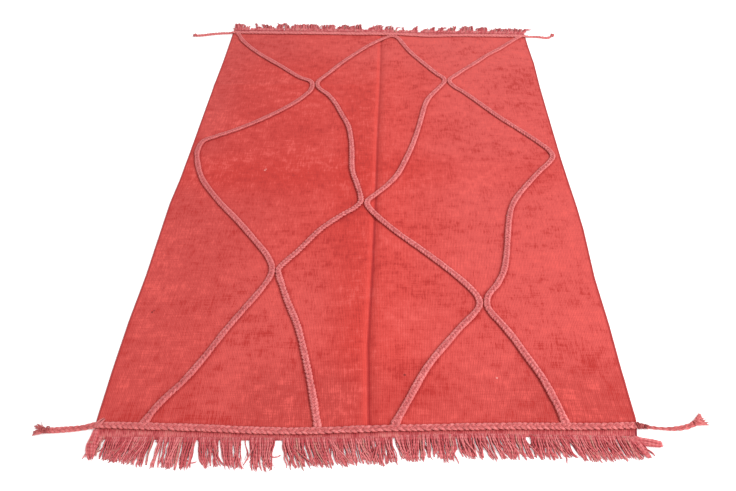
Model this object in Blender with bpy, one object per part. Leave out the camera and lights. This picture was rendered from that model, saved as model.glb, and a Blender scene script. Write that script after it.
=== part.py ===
"""A flat-woven Moroccan wool rug with plaited braids sewn over it.

One cloth lies on the floor with the fold line of its storage down the middle. Three braids run
over it in a loose lattice: one down the left, one down the right, and one that comes up the
middle, turns at the far end and goes back down. A braid is sewn across each end of the cloth,
with a free tail past either side, and the warp ends hang out beyond it as a fringe.

Metres. +X is to the right along the near end, +Y runs to the far end and +Z is up. The origin
is on the floor under the middle of the rug.
"""

import math
from bisect import bisect_right
from collections import namedtuple

import bmesh
import bpy
from mathutils import Vector
from mathutils.bvhtree import BVHTree

GAP = 0.0004  # clearance between neighbouring pieces

# The cloth, with its rows from the near end to the far end.
CLOTH_THICK = 0.004
CREST = 0.032  # distance from the fold line to the top of the cloth's rise beside it
FOOT = 0.160  # distance from the fold line to where the cloth lies flat again
RIDGE_REACH = 0.060  # half the width of a ridge across the cloth

Side = namedtuple("Side", "y left right")
SIDES = (
    Side(-1.365, -0.838, 0.838),
    Side(-1.295, -0.848, 0.851),
    Side(-1.107, -0.854, 0.850),
    Side(-0.895, -0.857, 0.853),
    Side(-0.654, -0.853, 0.850),
    Side(-0.378, -0.857, 0.861),
    Side(-0.224, -0.859, 0.861),
    Side(-0.058, -0.852, 0.857),
    Side(0.122, -0.850, 0.853),
    Side(0.531, -0.848, 0.852),
    Side(0.765, -0.846, 0.852),
    Side(1.021, -0.842, 0.857),
    Side(1.219, -0.842, 0.851),
    Side(1.380, -0.843, 0.850),
)

End = namedtuple("End", "x y")
NEAR_END = (End(-0.84, -1.364), End(-0.20, -1.359), End(0.20, -1.341), End(0.36, -1.335), End(0.84, -1.338))
FAR_END = (End(-0.84, 1.378), End(-0.21, 1.360), End(0.05, 1.346), End(0.48, 1.333), End(0.84, 1.318))

Fold = namedtuple("Fold", "y x left_rise right_rise")
FOLD_LINE = (
    Fold(-1.365, 0.018, 0.0020, 0.0025),
    Fold(-1.227, 0.013, 0.0040, 0.0045),
    Fold(-0.982, 0.005, 0.0050, 0.0055),
    Fold(-0.560, 0.013, 0.0045, 0.0055),
    Fold(-0.090, 0.018, 0.0045, 0.0050),
    Fold(0.334, 0.020, 0.0050, 0.0045),
    Fold(0.741, 0.025, 0.0050, 0.0050),
    Fold(1.165, 0.025, 0.0045, 0.0045),
    Fold(1.380, 0.024, 0.0025, 0.0025),
)

Ridge = namedtuple("Ridge", "y side rise")
RIDGES = (Ridge(0.750, "left", 0.0030), Ridge(-1.120, "right", 0.0020))

ROW_SPACING = 0.16  # most that two rows of the cloth's mesh are apart

# The braids: their size, and the shape of their section as shares of width and height.
BRAID_WIDTH = 0.024
BRAID_HEIGHT = 0.0095
SectionPoint = namedtuple("SectionPoint", "across up")
BRAID_SECTION = (
    SectionPoint(-0.42, 0.0),
    SectionPoint(0.42, 0.0),
    SectionPoint(0.50, 0.45),
    SectionPoint(0.27, 1.0),
    SectionPoint(-0.27, 1.0),
    SectionPoint(-0.50, 0.45),
)
FINE_STEP = 0.006  # spacing of the points read from a braid's smooth route
LONGEST_STEP = 0.055  # most that two sections of a braid are apart
LARGEST_TURN = math.radians(11.0)  # most that a braid turns between two sections

# A braid across an end: its centreline, width and height, tail to tail.
EndBraidPoint = namedtuple("EndBraidPoint", "x y width height")
NEAR_BRAID = (
    EndBraidPoint(-1.040, -1.337, 0.030, 0.010),
    EndBraidPoint(-1.015, -1.338, 0.030, 0.012),
    EndBraidPoint(-0.995, -1.338, 0.018, 0.012),
    EndBraidPoint(-0.952, -1.334, 0.018, 0.011),
    EndBraidPoint(-0.892, -1.325, 0.019, 0.010),
    EndBraidPoint(-0.845, -1.318, 0.026, 0.010),
    EndBraidPoint(-0.675, -1.319, 0.028, 0.0105),
    EndBraidPoint(-0.516, -1.322, 0.028, 0.0105),
    EndBraidPoint(-0.357, -1.328, 0.027, 0.0105),
    EndBraidPoint(-0.231, -1.330, 0.026, 0.0105),
    EndBraidPoint(-0.106, -1.326, 0.026, 0.0105),
    EndBraidPoint(0.112, -1.315, 0.026, 0.0105),
    EndBraidPoint(0.425, -1.303, 0.026, 0.0105),
    EndBraidPoint(0.734, -1.299, 0.026, 0.0105),
    EndBraidPoint(0.838, -1.294, 0.025, 0.010),
    EndBraidPoint(0.862, -1.296, 0.022, 0.013),
    EndBraidPoint(0.885, -1.301, 0.012, 0.010),
    EndBraidPoint(0.925, -1.306, 0.012, 0.009),
    EndBraidPoint(0.960, -1.305, 0.015, 0.010),
    EndBraidPoint(0.998, -1.297, 0.018, 0.010),
    EndBraidPoint(1.030, -1.281, 0.021, 0.010),
    EndBraidPoint(1.064, -1.266, 0.038, 0.010),
)
FAR_BRAID = (
    EndBraidPoint(-1.072, 1.305, 0.019, 0.014),
    EndBraidPoint(-1.050, 1.306, 0.021, 0.014),
    EndBraidPoint(-1.020, 1.311, 0.014, 0.010),
    EndBraidPoint(-0.930, 1.331, 0.014, 0.010),
    EndBraidPoint(-0.860, 1.337, 0.018, 0.010),
    EndBraidPoint(-0.825, 1.336, 0.025, 0.010),
    EndBraidPoint(-0.682, 1.332, 0.026, 0.0105),
    EndBraidPoint(-0.447, 1.325, 0.026, 0.0105),
    EndBraidPoint(-0.214, 1.318, 0.026, 0.0105),
    EndBraidPoint(-0.040, 1.307, 0.026, 0.0105),
    EndBraidPoint(0.060, 1.304, 0.026, 0.0105),
    EndBraidPoint(0.150, 1.302, 0.026, 0.0105),
    EndBraidPoint(0.294, 1.285, 0.026, 0.0105),
    EndBraidPoint(0.478, 1.289, 0.026, 0.0105),
    EndBraidPoint(0.649, 1.285, 0.026, 0.0105),
    EndBraidPoint(0.835, 1.279, 0.025, 0.010),
    EndBraidPoint(0.880, 1.280, 0.017, 0.010),
    EndBraidPoint(0.935, 1.274, 0.014, 0.010),
    EndBraidPoint(0.972, 1.265, 0.014, 0.010),
    EndBraidPoint(0.992, 1.271, 0.018, 0.013),
    EndBraidPoint(1.008, 1.290, 0.023, 0.018),
    EndBraidPoint(1.016, 1.303, 0.016, 0.014),
)

# The braids over the field. Both ends stop against a braid across an end of the cloth, and
# only their place across is given there.
Stop = namedtuple("Stop", "end x")
FIELD_BRAIDS = {
    "field_braid_left": (
        Stop("far", -0.811),
        [
            (-0.765, 1.230), (-0.660, 1.090), (-0.518, 0.944), (-0.400, 0.820), (-0.345, 0.782),
            (-0.329, 0.750), (-0.332, 0.693), (-0.360, 0.635), (-0.400, 0.575), (-0.475, 0.490),
            (-0.574, 0.398), (-0.674, 0.320), (-0.758, 0.267), (-0.803, 0.232), (-0.815, 0.159),
            (-0.805, 0.095), (-0.755, -0.050), (-0.655, -0.205), (-0.551, -0.335), (-0.460, -0.458),
            (-0.398, -0.549), (-0.373, -0.612), (-0.375, -0.660), (-0.401, -0.730), (-0.446, -0.820),
            (-0.499, -0.927), (-0.548, -1.039), (-0.602, -1.146), (-0.651, -1.219), (-0.676, -1.266),
        ],
        Stop("near", -0.693),
    ),
    "field_braid_middle": (
        Stop("near", -0.143),
        [
            (-0.169, -1.195), (-0.205, -1.049), (-0.246, -0.905), (-0.296, -0.782), (-0.325, -0.701),
            (-0.344, -0.645), (-0.347, -0.620), (-0.330, -0.587), (-0.280, -0.515), (-0.204, -0.392),
            (-0.132, -0.312), (-0.065, -0.253), (-0.046, -0.222), (-0.044, -0.195), (-0.062, -0.106),
            (-0.088, 0.000), (-0.097, 0.150), (-0.106, 0.255), (-0.124, 0.364), (-0.158, 0.457),
            (-0.202, 0.576), (-0.243, 0.652), (-0.289, 0.708), (-0.302, 0.745), (-0.298, 0.780),
            (-0.249, 0.866), (-0.170, 0.998), (-0.091, 1.105), (-0.041, 1.164), (0.009, 1.219),
            (0.052, 1.259), (0.086, 1.278), (0.115, 1.263), (0.146, 1.200), (0.171, 1.135),
            (0.217, 1.042), (0.256, 0.974), (0.331, 0.848), (0.359, 0.810), (0.362, 0.775),
            (0.335, 0.720), (0.278, 0.621), (0.255, 0.553), (0.219, 0.364), (0.182, 0.198),
            (0.145, 0.071), (0.112, -0.027), (0.064, -0.110), (0.004, -0.184), (-0.015, -0.211),
            (-0.015, -0.240), (0.034, -0.320), (0.109, -0.409), (0.190, -0.490), (0.326, -0.643),
            (0.381, -0.717), (0.404, -0.764), (0.404, -0.801), (0.380, -0.841), (0.333, -0.898),
            (0.293, -0.952), (0.217, -1.060), (0.169, -1.151), (0.135, -1.223),
        ],
        Stop("near", 0.094),
    ),
    "field_braid_right": (
        Stop("far", 0.817),
        [
            (0.755, 1.204), (0.683, 1.124), (0.612, 1.055), (0.537, 0.967), (0.477, 0.902),
            (0.418, 0.831), (0.391, 0.797), (0.390, 0.766), (0.416, 0.716), (0.452, 0.673),
            (0.507, 0.594), (0.613, 0.435), (0.692, 0.331), (0.768, 0.227), (0.810, 0.157),
            (0.817, 0.117), (0.800, 0.078), (0.741, 0.003), (0.681, -0.082), (0.622, -0.172),
            (0.589, -0.242), (0.569, -0.318), (0.552, -0.417), (0.534, -0.528), (0.513, -0.619),
            (0.481, -0.691), (0.442, -0.749), (0.433, -0.783), (0.436, -0.815), (0.479, -0.893),
            (0.509, -0.950), (0.532, -1.003), (0.577, -1.106), (0.609, -1.205),
        ],
        Stop("near", 0.629),
    ),
}

# The fringes: combs of tufts that leave the cloth's ends. A row says how far the tips of the
# tufts near x lie beyond their roots, outwards (reach) and to the right (lean).
HEADER = 0.008  # depth of the strip that the tufts leave from
SLIT = 0.0015  # width of a slit between two tufts
TUFT_WIDTH = 0.037
TIP_SHARE = 0.62  # width of a tuft's tip as a share of its root
Sweep = namedtuple("Sweep", "x reach lean")
Opening = namedtuple("Opening", "x width")
Fringe = namedtuple("Fringe", "name end sweeps openings root_height middle_height tip_height")
FRINGES = (
    Fringe(
        "fringe_near",
        "near",
        (
            Sweep(-0.84, 0.070, -0.012),
            Sweep(-0.74, 0.088, -0.024),
            Sweep(-0.60, 0.104, -0.016),
            Sweep(-0.46, 0.096, 0.002),
            Sweep(-0.28, 0.107, 0.004),
            Sweep(-0.07, 0.102, 0.012),
            Sweep(0.15, 0.088, 0.010),
            Sweep(0.35, 0.085, 0.014),
            Sweep(0.60, 0.084, 0.026),
            Sweep(0.75, 0.074, 0.046),
            Sweep(0.79, 0.064, 0.060),
            Sweep(0.83, 0.020, 0.072),
        ),
        (
            Opening(-0.640, 0.012),
            Opening(-0.530, 0.010),
            Opening(-0.445, 0.010),
            Opening(-0.360, 0.012),
            Opening(-0.266, 0.014),
            Opening(-0.205, 0.012),
            Opening(0.085, 0.010),
            Opening(0.365, 0.014),
            Opening(0.490, 0.010),
            Opening(0.590, 0.010),
        ),
        0.005,
        0.008,
        0.005,
    ),
    Fringe(
        "fringe_far",
        "far",
        (
            Sweep(-0.84, 0.090, -0.006),
            Sweep(-0.56, 0.098, 0.006),
            Sweep(-0.28, 0.086, -0.004),
            Sweep(0.02, 0.088, 0.010),
            Sweep(0.23, 0.074, 0.018),
            Sweep(0.43, 0.066, 0.030),
            Sweep(0.53, 0.080, 0.020),
            Sweep(0.70, 0.058, 0.034),
            Sweep(0.84, 0.036, 0.048),
        ),
        (
            Opening(-0.690, 0.030),
            Opening(-0.600, 0.020),
            Opening(-0.520, 0.016),
            Opening(-0.300, 0.014),
            Opening(-0.190, 0.014),
            Opening(-0.080, 0.024),
            Opening(0.130, 0.020),
            Opening(0.240, 0.030),
            Opening(0.390, 0.016),
            Opening(0.460, 0.014),
        ),
        0.006,
        0.016,
        0.010,
    ),
)

# Colours, linear, with the roughness of dry wool.
WOOL_ROUGHNESS = 0.95
CORAL = (0.68, 0.095, 0.085)
DUSTY_PINK = (0.74, 0.23, 0.22)
FRINGE_ROSE = (0.55, 0.13, 0.13)


def between(rows, key, value, at):
    """The value column of a table at a place along its key column, on straight lines."""
    places = [getattr(row, key) for row in rows]
    i = min(max(bisect_right(places, at), 1), len(rows) - 1)
    low, high = rows[i - 1], rows[i]
    share = (at - places[i - 1]) / (places[i] - places[i - 1])
    share = min(max(share, 0.0), 1.0)
    return getattr(low, value) * (1 - share) + getattr(high, value) * share


def wool(name, colour):
    """A rough cloth material of one colour."""
    material = bpy.data.materials.new(name)
    material.use_nodes = True
    shader = material.node_tree.nodes["Principled BSDF"]
    shader.inputs["Base Color"].default_value = (*colour, 1.0)
    shader.inputs["Roughness"].default_value = WOOL_ROUGHNESS
    shader.inputs["Metallic"].default_value = 0.0
    material.diffuse_color = (*colour, 1.0)
    return material


def add_object(name, bm, material):
    """A mesh object made from a closed bmesh, in triangles that face outwards."""
    bmesh.ops.recalc_face_normals(bm, faces=bm.faces[:])
    bmesh.ops.triangulate(bm, faces=bm.faces[:])
    mesh = bpy.data.meshes.new(name)
    bm.to_mesh(mesh)
    bm.free()
    mesh.materials.append(material)
    obj = bpy.data.objects.new(name, mesh)
    bpy.context.scene.collection.objects.link(obj)
    return obj


def thickened(bm, underside):
    """Close the sheet in bm: a copy below it, with underside(vertex) its height, and walls round it."""
    top_faces = bm.faces[:]
    rim = [edge for edge in bm.edges if edge.is_boundary]
    below = {}
    for vertex in bm.verts[:]:
        below[vertex] = bm.verts.new((vertex.co.x, vertex.co.y, underside(vertex.co)))
    for face in top_faces:
        bm.faces.new([below[vertex] for vertex in reversed(face.verts)])
    for edge in rim:
        first, second = edge.verts
        bm.faces.new((first, second, below[second], below[first]))


def rise(x, y):
    """How far the cloth's underside stands off the floor: beside the fold line and on the ridges."""
    away = x - between(FOLD_LINE, "y", "x", y)
    top = between(FOLD_LINE, "y", "left_rise" if away < 0 else "right_rise", y)
    if abs(away) < CREST:
        height = top * abs(away) / CREST
    else:
        height = top * max(0.0, (FOOT - abs(away)) / (FOOT - CREST)) ** 2
    for ridge in RIDGES:
        if (away < 0) == (ridge.side == "left"):
            share = max(0.0, 1 - abs(y - ridge.y) / RIDGE_REACH)
            height += ridge.rise * share * min(1.0, abs(away) / FOOT)
    return height


def cloth_rows():
    """Places of the mesh's rows along the cloth, between its two end rows."""
    near, far = SIDES[0].y + 0.05, SIDES[-1].y - 0.09
    places = {row.y for row in SIDES + FOLD_LINE}
    for ridge in RIDGES:
        places.update((ridge.y - RIDGE_REACH, ridge.y, ridge.y + RIDGE_REACH))
    rows = sorted(y for y in places if near < y < far)
    filled = rows[:1]
    for y in rows[1:]:
        steps = math.ceil((y - filled[-1]) / ROW_SPACING)
        start = filled[-1]
        filled += [start + (y - start) * (step + 1) / steps for step in range(steps)]
    return filled


def cloth_columns(y):
    """Places of the mesh's columns across the cloth, close together beside the fold line."""
    left, right = between(SIDES, "y", "left", y), between(SIDES, "y", "right", y)
    fold = between(FOLD_LINE, "y", "x", y)
    steps = (CREST, (CREST + FOOT) * 0.36, (CREST + FOOT) * 0.62, FOOT)
    middle = [fold - step for step in reversed(steps)] + [fold] + [fold + step for step in steps]
    outer_left = [left + (middle[0] - left) * share for share in (0.0, 0.33, 0.67)]
    outer_right = [right + (middle[-1] - right) * share for share in (0.67, 0.33, 0.0)]
    return outer_left + middle + outer_right


def cloth_end(end):
    """The line of the cloth's near or far end, a point for each column."""
    line, y = (NEAR_END, SIDES[0].y) if end == "near" else (FAR_END, SIDES[-1].y)
    return [End(x, between(line, "x", "y", x)) for x in cloth_columns(y)]


def make_cloth(material):
    """The woven cloth, one sheet: flat on the floor, raised a little on both sides of the fold line."""
    bm = bmesh.new()
    lines = [[(x, y) for x in cloth_columns(y)] for y in cloth_rows()]
    grid = []
    for line in [cloth_end("near"), *lines, cloth_end("far")]:
        grid.append([bm.verts.new((x, y, rise(x, y) + CLOTH_THICK)) for x, y in line])
    for near, far in zip(grid, grid[1:]):
        for i in range(len(near) - 1):
            bm.faces.new((near[i], near[i + 1], far[i + 1], far[i]))
    thickened(bm, lambda place: place.z - CLOTH_THICK)
    return add_object("cloth", bm, material)


def top_of(obj):
    """A function that gives the height of an object's upper side at (x, y), or 0 beside it."""
    tree = BVHTree.FromPolygons(
        [vertex.co for vertex in obj.data.vertices],
        [tuple(face.vertices) for face in obj.data.polygons],
    )

    def height(x, y):
        hit = tree.ray_cast(Vector((x, y, 1.0)), Vector((0.0, 0.0, -1.0)))[0]
        return hit.z if hit else 0.0

    return height


def smooth(points, step):
    """Points about step apart on a smooth curve through the given ones (centripetal Catmull-Rom)."""
    points = [Vector(point) for point in points]
    ends = [2 * points[0] - points[1], *points, 2 * points[-1] - points[-2]]
    curve = [points[0]]
    for p0, p1, p2, p3 in zip(ends, ends[1:], ends[2:], ends[3:]):
        t1 = (p1 - p0).length ** 0.5
        t2 = t1 + (p2 - p1).length ** 0.5
        t3 = t2 + (p3 - p2).length ** 0.5
        pieces = max(1, round((p2 - p1).length / step))
        for piece in range(1, pieces + 1):
            t = t1 + (t2 - t1) * piece / pieces
            a1 = p0 + (p1 - p0) * (t / t1)
            a2 = p1 + (p2 - p1) * ((t - t1) / (t2 - t1))
            a3 = p2 + (p3 - p2) * ((t - t2) / (t3 - t2))
            b1 = a1 + (a2 - a1) * (t / t2)
            b2 = a2 + (a3 - a2) * ((t - t1) / (t3 - t1))
            curve.append(b1 + (b2 - b1) * ((t - t1) / (t2 - t1)))
    return curve


def sections_along(curve):
    """Which points of a fine curve get a section: more of them where it turns."""
    chosen, travelled, turned = [0], 0.0, 0.0
    for i in range(1, len(curve) - 1):
        before = (curve[i] - curve[i - 1]).xy
        after = (curve[i + 1] - curve[i]).xy
        travelled += before.length
        turned += abs(before.angle(after))
        if travelled > LONGEST_STEP or turned > LARGEST_TURN:
            chosen.append(i)
            travelled, turned = 0.0, 0.0
    return chosen + [len(curve) - 1]


def sideways(curve, i):
    """The level direction across a curve at its point i."""
    ahead = curve[min(i + 1, len(curve) - 1)] - curve[max(i - 1, 0)]
    return Vector((ahead.y, -ahead.x)).normalized()


def make_braid(name, curve, sizes, ends, cloth_top, material):
    """A flat braid along curve, lying on the cloth or the floor.

    sizes(point) gives its width and height, and ends the directions of its two end faces, or
    None for square ones.
    """
    heights = []
    for i, point in enumerate(curve):
        across = sideways(curve, i) * sizes(point)[0] / 2
        spread = [point.xy + across * share for share in (-1.1, -0.6, 0.0, 0.6, 1.1)]
        heights.append(max(cloth_top(place.x, place.y) for place in spread))
    chosen = sections_along(curve)
    bm = bmesh.new()
    rings = []
    for order, i in enumerate(chosen):
        nearest = chosen[max(order - 1, 0)], chosen[min(order + 1, len(chosen) - 1)]
        seat = max(heights[nearest[0] : nearest[1] + 1])
        base = seat + GAP if seat > 0 else 0.0
        width, height = sizes(curve[i])
        across = sideways(curve, i)
        face = ends[0] if order == 0 else ends[1] if order == len(chosen) - 1 else None
        if face is not None:
            face = face if face.dot(across) > 0 else -face
            across = face / face.dot(across)
        rings.append(
            [
                bm.verts.new(
                    (
                        curve[i].x + across.x * width * corner.across,
                        curve[i].y + across.y * width * corner.across,
                        base + height * corner.up,
                    )
                )
                for corner in BRAID_SECTION
            ]
        )
    for ring, following in zip(rings, rings[1:]):
        for k in range(len(ring)):
            after = (k + 1) % len(ring)
            bm.faces.new((ring[k], ring[after], following[after], following[k]))
    bm.faces.new(rings[0])
    bm.faces.new(list(reversed(rings[-1])))
    return add_object(name, bm, material)


def make_end_braid(name, table, cloth_top, material):
    """A braid across an end of the cloth, with the tails that it has past the sides."""
    curve = smooth([(row.x, row.y, 0.0) for row in table], FINE_STEP)

    def sizes(point):
        return between(table, "x", "width", point.x), between(table, "x", "height", point.x)

    return make_braid(name, curve, sizes, (None, None), cloth_top, material)


def stop_of(stop):
    """Where a field braid meets the side of an end braid: the point, and the side's direction."""
    table, inwards = (NEAR_BRAID, 1) if stop.end == "near" else (FAR_BRAID, -1)
    y = between(table, "x", "y", stop.x) + inwards * (between(table, "x", "width", stop.x) / 2 + GAP)
    slope = (between(table, "x", "y", stop.x + 0.02) - between(table, "x", "y", stop.x - 0.02)) / 0.04
    clear = inwards * BRAID_WIDTH / 2 * abs(slope)
    return (stop.x, y + clear + inwards * GAP, 0.0), Vector((1.0, slope)).normalized()


def make_field_braid(name, start, points, finish, cloth_top, material):
    """A braid over the field, from one end braid to an end braid."""
    first, first_side = stop_of(start)
    last, last_side = stop_of(finish)
    curve = smooth([first, *((x, y, 0.0) for x, y in points), last], FINE_STEP)

    def sizes(point):
        return BRAID_WIDTH, BRAID_HEIGHT

    return make_braid(name, curve, sizes, (first_side, last_side), cloth_top, material)


def tuft_roots(fringe):
    """The left and right of each tuft's root, between the slits and the wider openings."""
    left, right = SIDES[0].left, SIDES[0].right
    if fringe.end == "far":
        left, right = SIDES[-1].left, SIDES[-1].right
    cuts = [(left, left)]
    cuts += [(opening.x - opening.width / 2, opening.x + opening.width / 2) for opening in fringe.openings]
    cuts.append((right, right))
    roots = []
    for (_, start), (stop, _) in zip(cuts, cuts[1:]):
        count = max(1, round((stop - start) / TUFT_WIDTH))
        pitch = (stop - start) / count
        for i in range(count):
            inset_left = SLIT / 2 if i else 0.0
            inset_right = SLIT / 2 if i < count - 1 else 0.0
            roots.append((start + i * pitch + inset_left, start + (i + 1) * pitch - inset_right))
    return roots


def make_fringe(fringe, material):
    """A comb: a strip along the cloth's end, and the tufts that leave it and lean as they lie."""
    outwards = -1 if fringe.end == "near" else 1
    line = cloth_end(fringe.end)
    bm = bmesh.new()

    def point(x, beyond, height, lean=0.0):
        y = between(line, "x", "y", x) + outwards * (beyond + 2 * GAP)
        return bm.verts.new((x + lean, y, height))

    previous = None
    for left, right in tuft_roots(fringe):
        middle = (left + right) / 2
        reach = between(fringe.sweeps, "x", "reach", middle)
        lean = between(fringe.sweeps, "x", "lean", middle)
        tip_left = middle + (left - middle) * TIP_SHARE
        tip_right = middle + (right - middle) * TIP_SHARE
        edge = point(left, 0.0, CLOTH_THICK), point(right, 0.0, CLOTH_THICK)
        root = point(left, HEADER, fringe.root_height), point(right, HEADER, fringe.root_height)
        belly = [
            point((x + tip) / 2, reach * 0.55, fringe.middle_height, lean * 0.45)
            for x, tip in ((left, tip_left), (right, tip_right))
        ]
        tip = [point(x, reach, fringe.tip_height, lean) for x in (tip_left, tip_right)]
        for inner, outer in ((edge, root), (root, belly), (belly, tip)):
            bm.faces.new((inner[0], inner[1], outer[1], outer[0]))
        if previous:
            bm.faces.new((previous[0], edge[0], root[0], previous[1]))
        previous = edge[1], root[1]
    thickened(bm, lambda place: 0.0)
    return add_object(fringe.name, bm, material)


for old in list(bpy.data.objects):
    bpy.data.objects.remove(old, do_unlink=True)

coral_wool = wool("coral_wool", CORAL)
pink_wool = wool("pink_wool", DUSTY_PINK)
rose_warp = wool("rose_warp", FRINGE_ROSE)

cloth = make_cloth(coral_wool)
top = top_of(cloth)
make_end_braid("end_braid_near", NEAR_BRAID, top, pink_wool)
make_end_braid("end_braid_far", FAR_BRAID, top, pink_wool)
for braid_name, (start, points, finish) in FIELD_BRAIDS.items():
    make_field_braid(braid_name, start, points, finish, top, pink_wool)
for fringe in FRINGES:
    make_fringe(fringe, rose_warp)
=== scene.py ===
"""The looks of a flat-woven Moroccan wool rug with plaits sewn over it, laid out on a pale floor.

The sections follow the rug as it is made: the woven ground, the plaits laid over the field, the
plaits across the ends with their tails, and the fringes. Metres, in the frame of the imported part.
"""

import math
from bisect import bisect_right
from collections import namedtuple

import bpy
import numpy as np
from mathutils import Matrix, Vector, noise


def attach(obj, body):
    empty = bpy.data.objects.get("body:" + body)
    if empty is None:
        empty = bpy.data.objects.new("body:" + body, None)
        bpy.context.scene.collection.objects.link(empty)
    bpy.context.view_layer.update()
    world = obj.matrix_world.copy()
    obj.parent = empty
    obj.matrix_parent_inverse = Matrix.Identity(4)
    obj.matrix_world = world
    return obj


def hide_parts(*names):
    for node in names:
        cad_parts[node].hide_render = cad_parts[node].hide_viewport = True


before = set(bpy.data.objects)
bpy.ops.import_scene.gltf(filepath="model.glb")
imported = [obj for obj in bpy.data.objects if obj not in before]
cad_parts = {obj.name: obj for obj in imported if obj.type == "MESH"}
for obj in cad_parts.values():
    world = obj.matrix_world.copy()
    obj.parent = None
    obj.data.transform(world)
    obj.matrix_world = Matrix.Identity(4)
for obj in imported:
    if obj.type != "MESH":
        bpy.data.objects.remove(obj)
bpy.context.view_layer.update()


# ---------------------------------------------------------------------------
# The room: a pale floor, soft light all round, one window high at the right,
# which shades the left side of the plaits, and a weak fill nearer by.
# ---------------------------------------------------------------------------

FLOOR_SIZE = 40.0
FLOOR_DROP = 0.0002  # the floor lies this far under the rug, so that no two faces share a plane
FLOOR_WHITE = (0.94, 0.94, 0.94, 1.0)
FLOOR_DULLNESS = 0.9
FLOOR_GLOW = 0.22
WHITE = (1.0, 1.0, 1.0, 1.0)
ROOM_LIGHT = 0.87
WINDOW_PLACE = Vector((9.0, -0.7, 10.2))
WINDOW_SIZE = 3.2
WINDOW_POWER = 880.0
FILL_PLACE = Vector((4.6, -3.0, 2.8))
FILL_SIZE = 2.5
FILL_POWER = 120.0

bpy.ops.object.select_all(action="DESELECT")
bpy.ops.mesh.primitive_plane_add(size=FLOOR_SIZE, location=(0.0, 0.0, -FLOOR_DROP))
floor = bpy.context.object
floor.name = "floor"
floor_paint = bpy.data.materials.new("pale_floor")
floor_paint.use_nodes = True
paint = floor_paint.node_tree.nodes["Principled BSDF"]
paint.inputs["Base Color"].default_value = FLOOR_WHITE
paint.inputs["Roughness"].default_value = FLOOR_DULLNESS
paint.inputs["Emission Color"].default_value = WHITE
paint.inputs["Emission Strength"].default_value = FLOOR_GLOW
floor.data.materials.append(floor_paint)

room = bpy.data.worlds.new("room")
bpy.context.scene.world = room
room.use_nodes = True
background = room.node_tree.nodes["Background"]
background.inputs["Color"].default_value = WHITE
background.inputs["Strength"].default_value = ROOM_LIGHT

for label, place, size, power in (
    ("window_light", WINDOW_PLACE, WINDOW_SIZE, WINDOW_POWER),
    ("fill_light", FILL_PLACE, FILL_SIZE, FILL_POWER),
):
    bpy.ops.object.light_add(type="AREA", location=place)
    lamp = bpy.context.object
    lamp.name = label
    lamp.data.shape = "SQUARE"
    lamp.data.size = size
    lamp.data.energy = power
    lamp.rotation_euler = (-place).to_track_quat("-Z", "Y").to_euler()

CAMERA_PLACE = Vector((0.074, -2.552, 1.941))
CAMERA_PITCH = math.radians(43.04)  # below the level
CAMERA_YAW = math.radians(2.25)  # to the left of +Y
CAMERA_ROLL = math.radians(-1.24)
CAMERA_LENS = 34.97
CAMERA_SENSOR = 36.0
CAMERA_NEAREST = 0.05

bpy.ops.object.camera_add(location=CAMERA_PLACE)
camera = bpy.context.object
camera.name = "camera"
camera.data.lens = CAMERA_LENS
camera.data.sensor_width = CAMERA_SENSOR
camera.data.clip_start = CAMERA_NEAREST
aim = (
    Matrix.Rotation(CAMERA_YAW, 4, "Z")
    @ Matrix.Rotation(math.pi / 2 - CAMERA_PITCH, 4, "X")
    @ Matrix.Rotation(CAMERA_ROLL, 4, "Z")
)
camera.rotation_euler = aim.to_euler()
bpy.context.scene.camera = camera
bpy.context.scene.view_settings.view_transform = "Standard"


# ---------------------------------------------------------------------------
# The ground: one cloth of coral-red wool, woven so that the weft hides the
# warp and leaves ribs along the rug. Its ends are woven in a duller rose.
# It keeps the fold line of its storage and lies a little uneven.
# ---------------------------------------------------------------------------

CLOTH_THICK = 0.004
CLOTH_FLAT = (1.70, 2.70)
CREST = 0.032  # distance from the fold line to the top of the rise beside it
FOOT = 0.160  # distance from the fold line to where the cloth lies flat again
RIDGE_REACH = 0.060
CREST_ROUNDNESS = 1.6
RIDGE_ROUNDNESS = 1.5
SWELL_MEAN = 0.0007  # the cloth lies this far off the floor, give or take the next number
SWELL_HEIGHT = 0.0009
SELVEDGE = 0.007  # width of the firmer cords along the sides
BEAD = 0.0009  # how far those cords stand up
COLUMNS = 176
ROWS = 246


def rows_of(kind, *rows):
    """A table of rows of one named kind."""
    return [kind(*row) for row in rows]


Side = namedtuple("Side", "y left right")
SIDES = rows_of(
    Side,
    (-1.365, -0.838, 0.838), (-1.295, -0.848, 0.851), (-1.107, -0.854, 0.850), (-0.895, -0.857, 0.853),
    (-0.654, -0.853, 0.850), (-0.378, -0.857, 0.861), (-0.224, -0.859, 0.861), (-0.058, -0.852, 0.857),
    (0.122, -0.850, 0.853), (0.531, -0.848, 0.852), (0.765, -0.846, 0.852), (1.021, -0.842, 0.857),
    (1.219, -0.842, 0.851), (1.380, -0.843, 0.850),
)

End = namedtuple("End", "x y")
NEAR_END = rows_of(End, (-0.84, -1.364), (-0.20, -1.359), (0.20, -1.341), (0.36, -1.335), (0.84, -1.338))
FAR_END = rows_of(End, (-0.84, 1.378), (-0.21, 1.360), (0.05, 1.346), (0.48, 1.333), (0.84, 1.318))
NEAR_SEAM = rows_of(End, (-0.84, -1.318), (-0.23, -1.330), (0.11, -1.315), (0.43, -1.303), (0.84, -1.296))
FAR_SEAM = rows_of(End, (-0.84, 1.336), (-0.21, 1.318), (0.06, 1.304), (0.48, 1.291), (0.84, 1.279))

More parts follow.
